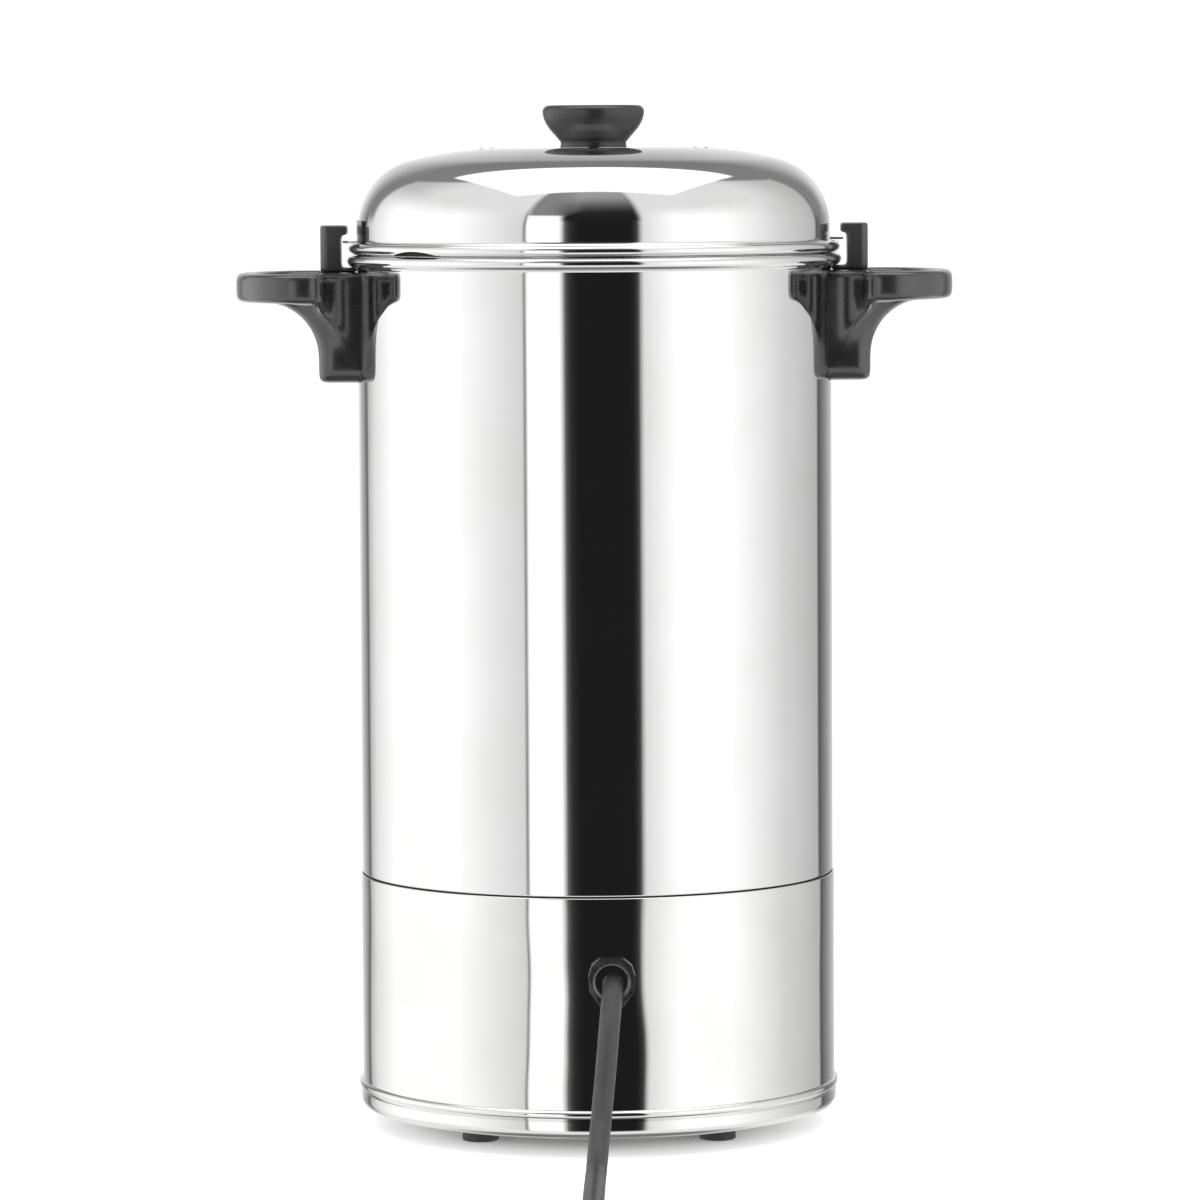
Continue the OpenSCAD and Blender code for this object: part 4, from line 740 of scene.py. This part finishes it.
# A low raised rim round each vent, left by the punch
rims_mesh = bmesh.new()
rim_lean = math.asin((VENT_AT - CROWN_FLAT) / SHOULDER_R)
rim_level = shoulder_low + SHOULDER_R * math.cos(rim_lean)
rim_outline = (
    [(VENT_R, -0.9)] + arc((VENT_R + VENT_RIM, -0.75), VENT_RIM, 180, 0, 10)
    + [(VENT_R + 2 * VENT_RIM, -0.9)]
)
for side in (-1, 1):
    rim = lathe(rim_outline, 48)
    place = Matrix.Translation(Vector((side * VENT_AT, 0, rim_level)) * MM)
    place = place @ Matrix.Rotation(side * rim_lean, 4, "Y")
    bmesh.ops.transform(rim, matrix=place, verts=rim.verts)
    join(rims_mesh, rim)
vent_rims = link_mesh("vent_rims", rims_mesh, "lid")
dress(vent_rims, polished_lid)
smooth(vent_rims, 60)

# The collar and the tabs are stamped sheet, left satin
satin_steel = material("satin_steel", "#c3c3c2", "#d0d0cf", (0.14, 0.24), 12, metallic=1.0)
dress(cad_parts["lid_collar"], satin_steel)
dress(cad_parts["lid_tabs"], satin_steel)


# ---- Knob ------------------------------------------------------------------
# A phenolic moulding: a flat cap with a soft edge on a flared neck, held by a
# screw from inside the lid.
knob_low, knob_high = (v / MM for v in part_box("knob"))
KNOB_R, NECK_R = knob_high.x, 16.2
knob_outline = (
    [(0, knob_high.z - 0.25), (KNOB_R - 9, knob_high.z - 0.1), (KNOB_R - 4.5, knob_high.z)]
    + arc((KNOB_R - 3.2, knob_high.z - 3.2), 3.2, 78, 0, 12)
    + [(KNOB_R - 0.15, knob_high.z - 4.6), (KNOB_R - 0.7, knob_high.z - 6.8),
       (KNOB_R - 1.9, knob_high.z - 9.4), (KNOB_R - 3.7, knob_high.z - 12),
       (KNOB_R - 5.9, knob_high.z - 14.5), (NECK_R + 1.3, knob_high.z - 16.5),
       (NECK_R + 0.5, knob_high.z - 17.4), (NECK_R, knob_high.z - 18),
       (NECK_R - 0.1, knob_low.z + 1.6), (NECK_R + 0.2, knob_low.z + 0.3),
       (NECK_R + 0.2, knob_low.z), (0, knob_low.z)]
)
# Phenolic with a satin surface: a soft sheen and no sharp reflections
satin_phenolic = material(
    "satin_phenolic", "#242425", "#2c2c2d", (0.28, 0.36), 8, [(0.5, 0.004)], IOR=1.64
)
lid_knob_cap = link_mesh("lid_knob_cap", lathe(knob_outline, 128), "lid_knob", ["knob"])
dress(lid_knob_cap, satin_phenolic)
smooth(lid_knob_cap, 60)


# ---- Handles and hooks -----------------------------------------------------
# Compression-moulded phenolic with a bright gloss from the polished mould. The
# hooks that hold the lid down are let into the tops of the blocks. The gloss is
# a hard skin over a softer sheen, so it is drawn as a thin coat.
gloss_phenolic = material(
    "gloss_phenolic", "#222223", "#2a2a2b", (0.22, 0.31), 20, [(40, 0.05, 1)], IOR=1.64,
    Coat_Weight=0.7, Coat_Roughness=0.17,
)
# Points within SEAT_REACH of the wall are set SEAT_GAP off it. Smoothing starts
# SOFT_START off the wall and is full SOFT_SPAN further out.
SEAT_GAP, SEAT_REACH, SOFT_START, SOFT_SPAN = 0.03, 0.7, 0.5, 2.5


def settle(thing):
    """Applies a piece's modifiers to its mesh."""
    graph = bpy.context.evaluated_depsgraph_get()
    thing.data = bpy.data.meshes.new_from_object(thing.evaluated_get(graph))
    thing.modifiers.clear()


def moulded(name, node, body, made, grain_mm, rounds, crisp_r=0):
    """A piece from a merged copy of a CAD node, remeshed finely and smoothed, so that its edges
    are as round as a moulding's. Where it meets a wall of radius crisp_r it stays sharp."""
    source = bmesh.new()
    source.from_mesh(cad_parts[node].data)
    bmesh.ops.remove_doubles(source, verts=source.verts, dist=1e-6)
    thing = link_mesh(name, source, body, [node])
    remesh = thing.modifiers.new("remesh", "REMESH")
    remesh.mode = "VOXEL"
    remesh.voxel_size = grain_mm * MM
    settle(thing)
    free = thing.vertex_groups.new(name="free")
    for vertex in thing.data.vertices:
        weight = 1
        if crisp_r:
            out = math.hypot(vertex.co.x, vertex.co.y) / MM
            weight = min(max((out - crisp_r - SOFT_START) / SOFT_SPAN, 0), 1)
            if out - crisp_r < SEAT_REACH:
                vertex.co.xy *= (crisp_r + SEAT_GAP) / out
        free.add([vertex.index], weight, "REPLACE")
    soften = thing.modifiers.new("soften", "SMOOTH")
    soften.factor = 0.5
    soften.iterations = rounds
    soften.vertex_group = "free"
    settle(thing)
    thing.vertex_groups.clear()
    thing.data.shade_smooth()
    dress(thing, made)
    return thing


for side in ("right", "left"):
    moulded(f"handle_{side}_moulding", f"handle_{side}", "root", gloss_phenolic, 0.8, 100, tank_out)

# The hooks are the same phenolic from a duller mould
satin_hooks = material(
    "satin_hooks", "#2b2b2c", "#333334", (0.38, 0.46), 12, [(40, 0.05, 1)], IOR=1.64,
    Coat_Weight=0.8, Coat_Roughness=0.34,
)
moulded("lid_hook_mouldings", "lid_hooks", "root", satin_hooks, 0.5, 36)


# ---- Gland -----------------------------------------------------------------
# An eight-sided collar with a bell mouth, moulded in black nylon, put through
# the skirt and held by a nut inside. Nylon keeps a faint, even gloss.
black_nylon = material("black_nylon", "#1d1d1e", "#262627", (0.22, 0.32), 6, [(0.6, 0.008)])
# Faces that turn by less than FLAT_TURN are joined, edges over SHARP_TURN are
# bevelled, and shading creases over CREASE_TURN, all in degrees
FLAT_TURN, SHARP_TURN, CREASE_TURN = 0.6, 35, 32


def machined(name, node, body, made, edge_mm):
    """A piece from a merged copy of a CAD node, with its flat faces joined and its edges bevelled."""
    source = bmesh.new()
    source.from_mesh(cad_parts[node].data)
    bmesh.ops.remove_doubles(source, verts=source.verts, dist=1e-6)
    bmesh.ops.dissolve_limit(
        source, angle_limit=math.radians(FLAT_TURN), verts=source.verts, edges=source.edges,
        delimit=set(),
    )
    if edge_mm:
        sharp = [
            e for e in source.edges
            if len(e.link_faces) == 2 and e.calc_face_angle() > math.radians(SHARP_TURN)
        ]
        bmesh.ops.bevel(
            source, geom=sharp, offset=edge_mm * MM, offset_type="OFFSET", segments=2, profile=0.5,
            affect="EDGES", clamp_overlap=True, material=-1,
        )
    thing = link_mesh(name, source, body, [node])
    dress(thing, made)
    smooth(thing, CREASE_TURN)
    return thing


machined("gland_collar", "gland", "root", black_nylon, 0.6)
machined("gland_back_nut", "gland_nut", "root", black_nylon, 0.5)


# ---- Base fittings ---------------------------------------------------------
# Four black rubber feet with a soft edge, each on a plated screw and nut, and
# a zinc-plated bottom plate hung from four hexagonal posts under the tank.

# Moulded rubber: dark grey, matt, with a faint grain
foot_rubber = material("foot_rubber", "#343434", "#424242", (0.5, 0.7), 6, [(0.8, 0.03)])
# Zinc-coated sheet: a grey, slightly cloudy shine
zinc_plate = material(
    "zinc_plate", "#a7a7a6", "#b8b8b6", (0.30, 0.42), 24, [(1.4, 0.006)], metallic=1.0
)
# Bright zinc on turned and pressed steel
plated_steel = material("plated_steel", "#b3b4b2", "#c4c5c3", (0.24, 0.36), 5, metallic=1.0)
FOOT_R, FOOT_H, FOOT_BORE, FOOT_SINK = 9, 9, 2.3, 4.6
FOOT_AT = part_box("feet")[1].x / MM - FOOT_R
foot_outline = (
    [(FOOT_BORE, 4.4), (FOOT_SINK, 4.4), (FOOT_SINK, 0.9), (FOOT_SINK - 0.4, 0.4)]
    + [(FOOT_SINK - 1, 0)]
    + [(FOOT_R - 1.3, 0)] + arc((FOOT_R - 1, 1), 1, -90, 10, 6)
    + [(FOOT_R - 0.7, FOOT_H - 1.4)] + arc((FOOT_R - 1.7, FOOT_H - 1), 1, 5, 90, 5)
    + [(FOOT_BORE, FOOT_H)]
)
feet_mesh = bmesh.new()
for x in (-1, 1):
    for y in (-1, 1):
        foot = lathe(foot_outline, 64)
        bmesh.ops.translate(foot, vec=Vector((x * FOOT_AT, y * FOOT_AT, 0)) * MM, verts=foot.verts)
        join(feet_mesh, foot)
rubber_feet = link_mesh("rubber_feet", feet_mesh, "root", ["feet"])
dress(rubber_feet, foot_rubber)
smooth(rubber_feet)

machined("bottom_pan", "bottom_plate", "root", zinc_plate, 0.2)
machined("hex_posts", "base_posts", "root", plated_steel, 0.3)
for node in ("foot_screws", "foot_nuts", "base_screws"):
    machined(f"{node}_plated", node, "root", plated_steel, 0.2)


# ---- Handle and knob fixings -----------------------------------------------
# Pan-head screws from inside the tank and the lid, each on a white silicone
# washer that keeps the water in. Silicone is milky, soft-looking and dull.
white_silicone = material("white_silicone", "#cfcdc6", "#dcdad4", (0.45, 0.6), 5, [(0.7, 0.01)])
machined("handle_screws_plated", "handle_screws", "root", plated_steel, 0.25)
machined("handle_washers_soft", "handle_washers", "root", white_silicone, 0.2)
machined("knob_screw_plated", "knob_screw", "lid_knob", plated_steel, 0.25)
machined("knob_washer_soft", "knob_washer", "lid_knob", white_silicone, 0.2)


# ---- Tap -------------------------------------------------------------------
# A moulded black tap: shank and body in one, a screwed bonnet, a steel stem
# with a silicone seat cup, and a lever that leans forward over the spout.

# Glass-filled nylon: a low gloss with a fine grain, not quite flat
tap_plastic = material(
    "tap_plastic", "#151516", "#1d1d1e", (0.24, 0.34), 12, [(18, 0.03), (0.7, 0.006)]
)
# The lever's thermoset is blacker and shinier, as hands keep it
tap_lever_plastic = material(
    "tap_lever_plastic", "#121213", "#19191a", (0.18, 0.28), 14, [(0.7, 0.005)]
)
moulded("tap_moulding", "tap_body", "root", tap_plastic, 0.55, 8)
moulded("tap_cap", "tap_bonnet", "root", tap_plastic, 0.4, 5)
moulded("lever_moulding", "tap_lever", "tap_lever", tap_lever_plastic, 0.4, 8)
machined("valve_stem", "tap_stem", "tap_stem", plated_steel, 0.2)
machined("valve_seat_cup", "seat_cup", "tap_stem", white_silicone, 0.3)
machined("lever_pivot_pin", "lever_pin", "tap_lever", plated_steel, 0.2)
machined("tap_back_nut", "tap_nut", "root", plated_steel, 0.5)
machined("tap_seal_outside", "tap_outer_seal", "root", white_silicone, 0.4)
machined("tap_seal_inside", "tap_inner_seal", "root", white_silicone, 0.4)
dress(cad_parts["tap_spring"], plated_steel)


# ---- Sight gauge -----------------------------------------------------------
# A borosilicate tube with fire-polished ends, in a bent steel guard with a
# window, between the tap's boss and a black cap screwed to the tank.

# Drawn borosilicate: clear, very slightly green, and not quite even
clear_glass = material(
    "clear_glass", "#f4f8f7", "#fbfdfc", (0.02, 0.05), 30, [(30, 0.01)],
    Transmission_Weight=1.0, IOR=1.47,
)
glass_low, glass_high = (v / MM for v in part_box("gauge_glass"))
GLASS_R, GLASS_WALL = 6, 1.5
glass_end = GLASS_WALL / 2
glass_middle = GLASS_R - glass_end
glass_mesh = lathe(
    arc((glass_middle, glass_high.z - glass_end), glass_end, 0, 180, 8)
    + arc((glass_middle, glass_low.z + glass_end), glass_end, 180, 360, 8), 64
)
bmesh.ops.translate(
    glass_mesh, vec=Vector((0, (glass_low.y + glass_high.y) / 2, 0)) * MM, verts=glass_mesh.verts
)
sight_tube = link_mesh("sight_tube", glass_mesh, "root", ["gauge_glass"])
dress(sight_tube, clear_glass)
smooth(sight_tube)
machined("bent_guard", "gauge_guard", "root", polished_skirt, 0.3)
moulded("gauge_cap_moulding", "gauge_cap", "root", tap_plastic, 0.45, 6)
machined("gauge_seal_rings", "gauge_seals", "root", white_silicone, 0.3)
machined("gauge_fixing_screw", "gauge_screw", "root", plated_steel, 0.2)


# ---- Brewing parts ---------------------------------------------------------
# Bright-drawn pump tube on a flared foot with a loose valve washer, and a
# spun aluminium basket with a spreader lid, both pierced all over.

# Spun aluminium: a cool grey shine, slightly uneven from the spinning
spun_aluminium = material(
    "spun_aluminium", "#c3c5c7", "#cfd1d2", (0.26, 0.38), 18, [(50, 0.04), (0.8, 0.004)],
    metallic=1.0,
)
machined("pump_tube_drawn", "pump_tube", "pump", plated_steel, 0.2)
machined("pump_foot_spun", "pump_foot", "pump", spun_aluminium, 0.2)
machined("pump_valve_washer", "pump_valve", "pump_valve", plated_steel, 0.2)
machined("basket_spun", "basket", "basket", spun_aluminium, 0.0)
machined("basket_spreader", "basket_cover", "basket_cover", spun_aluminium, 0.0)


# ---- Heater and wiring -----------------------------------------------------
# Under the tank: a cast spreader with the brewing element pressed into it, a
# keep-warm ring, a disc thermostat, a cut-out with its copper bulb and red
# reset button, a ceramic terminal block and glass-sleeved leads.

# Die-cast aluminium: grey, dull and a little rough
cast_aluminium = material(
    "cast_aluminium", "#9fa1a2", "#b0b2b2", (0.45, 0.6), 10, [(1.2, 0.03)], metallic=1.0
)
# Nickel-alloy tube, gone grey-brown in the heat
element_sheath = material(
    "element_sheath", "#5d5855", "#74706b", (0.35, 0.5), 12, [(0.9, 0.01)], metallic=1.0
)
# Drawn copper, clouded by handling
copper_tube = material(
    "copper_tube", "#a5663c", "#b87a4e", (0.25, 0.4), 7, [(0.8, 0.004)], metallic=1.0
)
# Brown-black phenolic moulding, dull
brown_phenolic = material("brown_phenolic", "#2a2623", "#342f2b", (0.35, 0.5), 8, [(0.7, 0.01)])
# Signal-red nylon with a low gloss
red_plastic = material("red_plastic", "#a3241b", "#b53026", (0.3, 0.42), 4, [(0.6, 0.006)])
# Steatite with a thin cream glaze that shines softly
glazed_ceramic = material("glazed_ceramic", "#e2dccb", "#eee9da", (0.3, 0.45), 9, [(0.8, 0.01)])
# Braided glass fibre, matt, its weave drawn as a coarse grain
glass_sleeve = material("glass_sleeve", "#b9b2a0", "#cfc9b8", (0.7, 0.85), 4, [(0.7, 0.08)])
for name, node, made, edge, slot_name in (
    ("heat_spreader", "heater_plate", cast_aluminium, 0.4, "aluminium"),
    ("brewing_rod", "brewing_element", element_sheath, 0.0, "element_sheath"),
    ("keep_warm_rod", "warm_element", element_sheath, 0.0, "element_sheath"),
    ("disc_thermostat", "thermostat", plated_steel, 0.3, "plain_steel"),
    ("cutout_case", "cutout", brown_phenolic, 0.5, "black_plastic"),
    ("cutout_bulb_copper", "cutout_bulb", copper_tube, 0.0, "copper"),
    ("terminal_ceramic", "terminal_block", glazed_ceramic, 0.6, "cream_plastic"),
    ("sleeved_leads", "wires", glass_sleeve, 0.0, "wire_sleeve"),
):
    machined(name, node, "root", made, edge)
machined("reset_plunger", "reset_button", "reset_button", red_plastic, 0.4)


# ---- Controls --------------------------------------------------------------
# A snap-in rocker switch and two neon lamps in black bezels on the skirt, one
# amber for heating and one green for ready.
moulded("switch_case", "switch_housing", "root", tap_plastic, 0.4, 4)
moulded("rocker_key", "rocker", "rocker", tap_lever_plastic, 0.3, 6)
moulded("lamp_rings", "lamp_bezels", "root", tap_plastic, 0.35, 6)

# Tinted acrylic: glossy, half clear, and pebbled so that it breaks up the light
for lens, colour_name, dark, light_tint in (
    ("heat", "amber", "#e07a1a", "#ee8c2c"),
    ("ready", "green", "#2f9e48", "#3db057"),
):
    acrylic = material(
        f"{colour_name}_acrylic", dark, light_tint, (0.08, 0.16), 3, [(0.9, 0.02)],
        Transmission_Weight=0.45, IOR=1.49,
    )
    machined(f"{lens}_lamp_lens", f"{lens}_lens", "root", acrylic, 0.2)
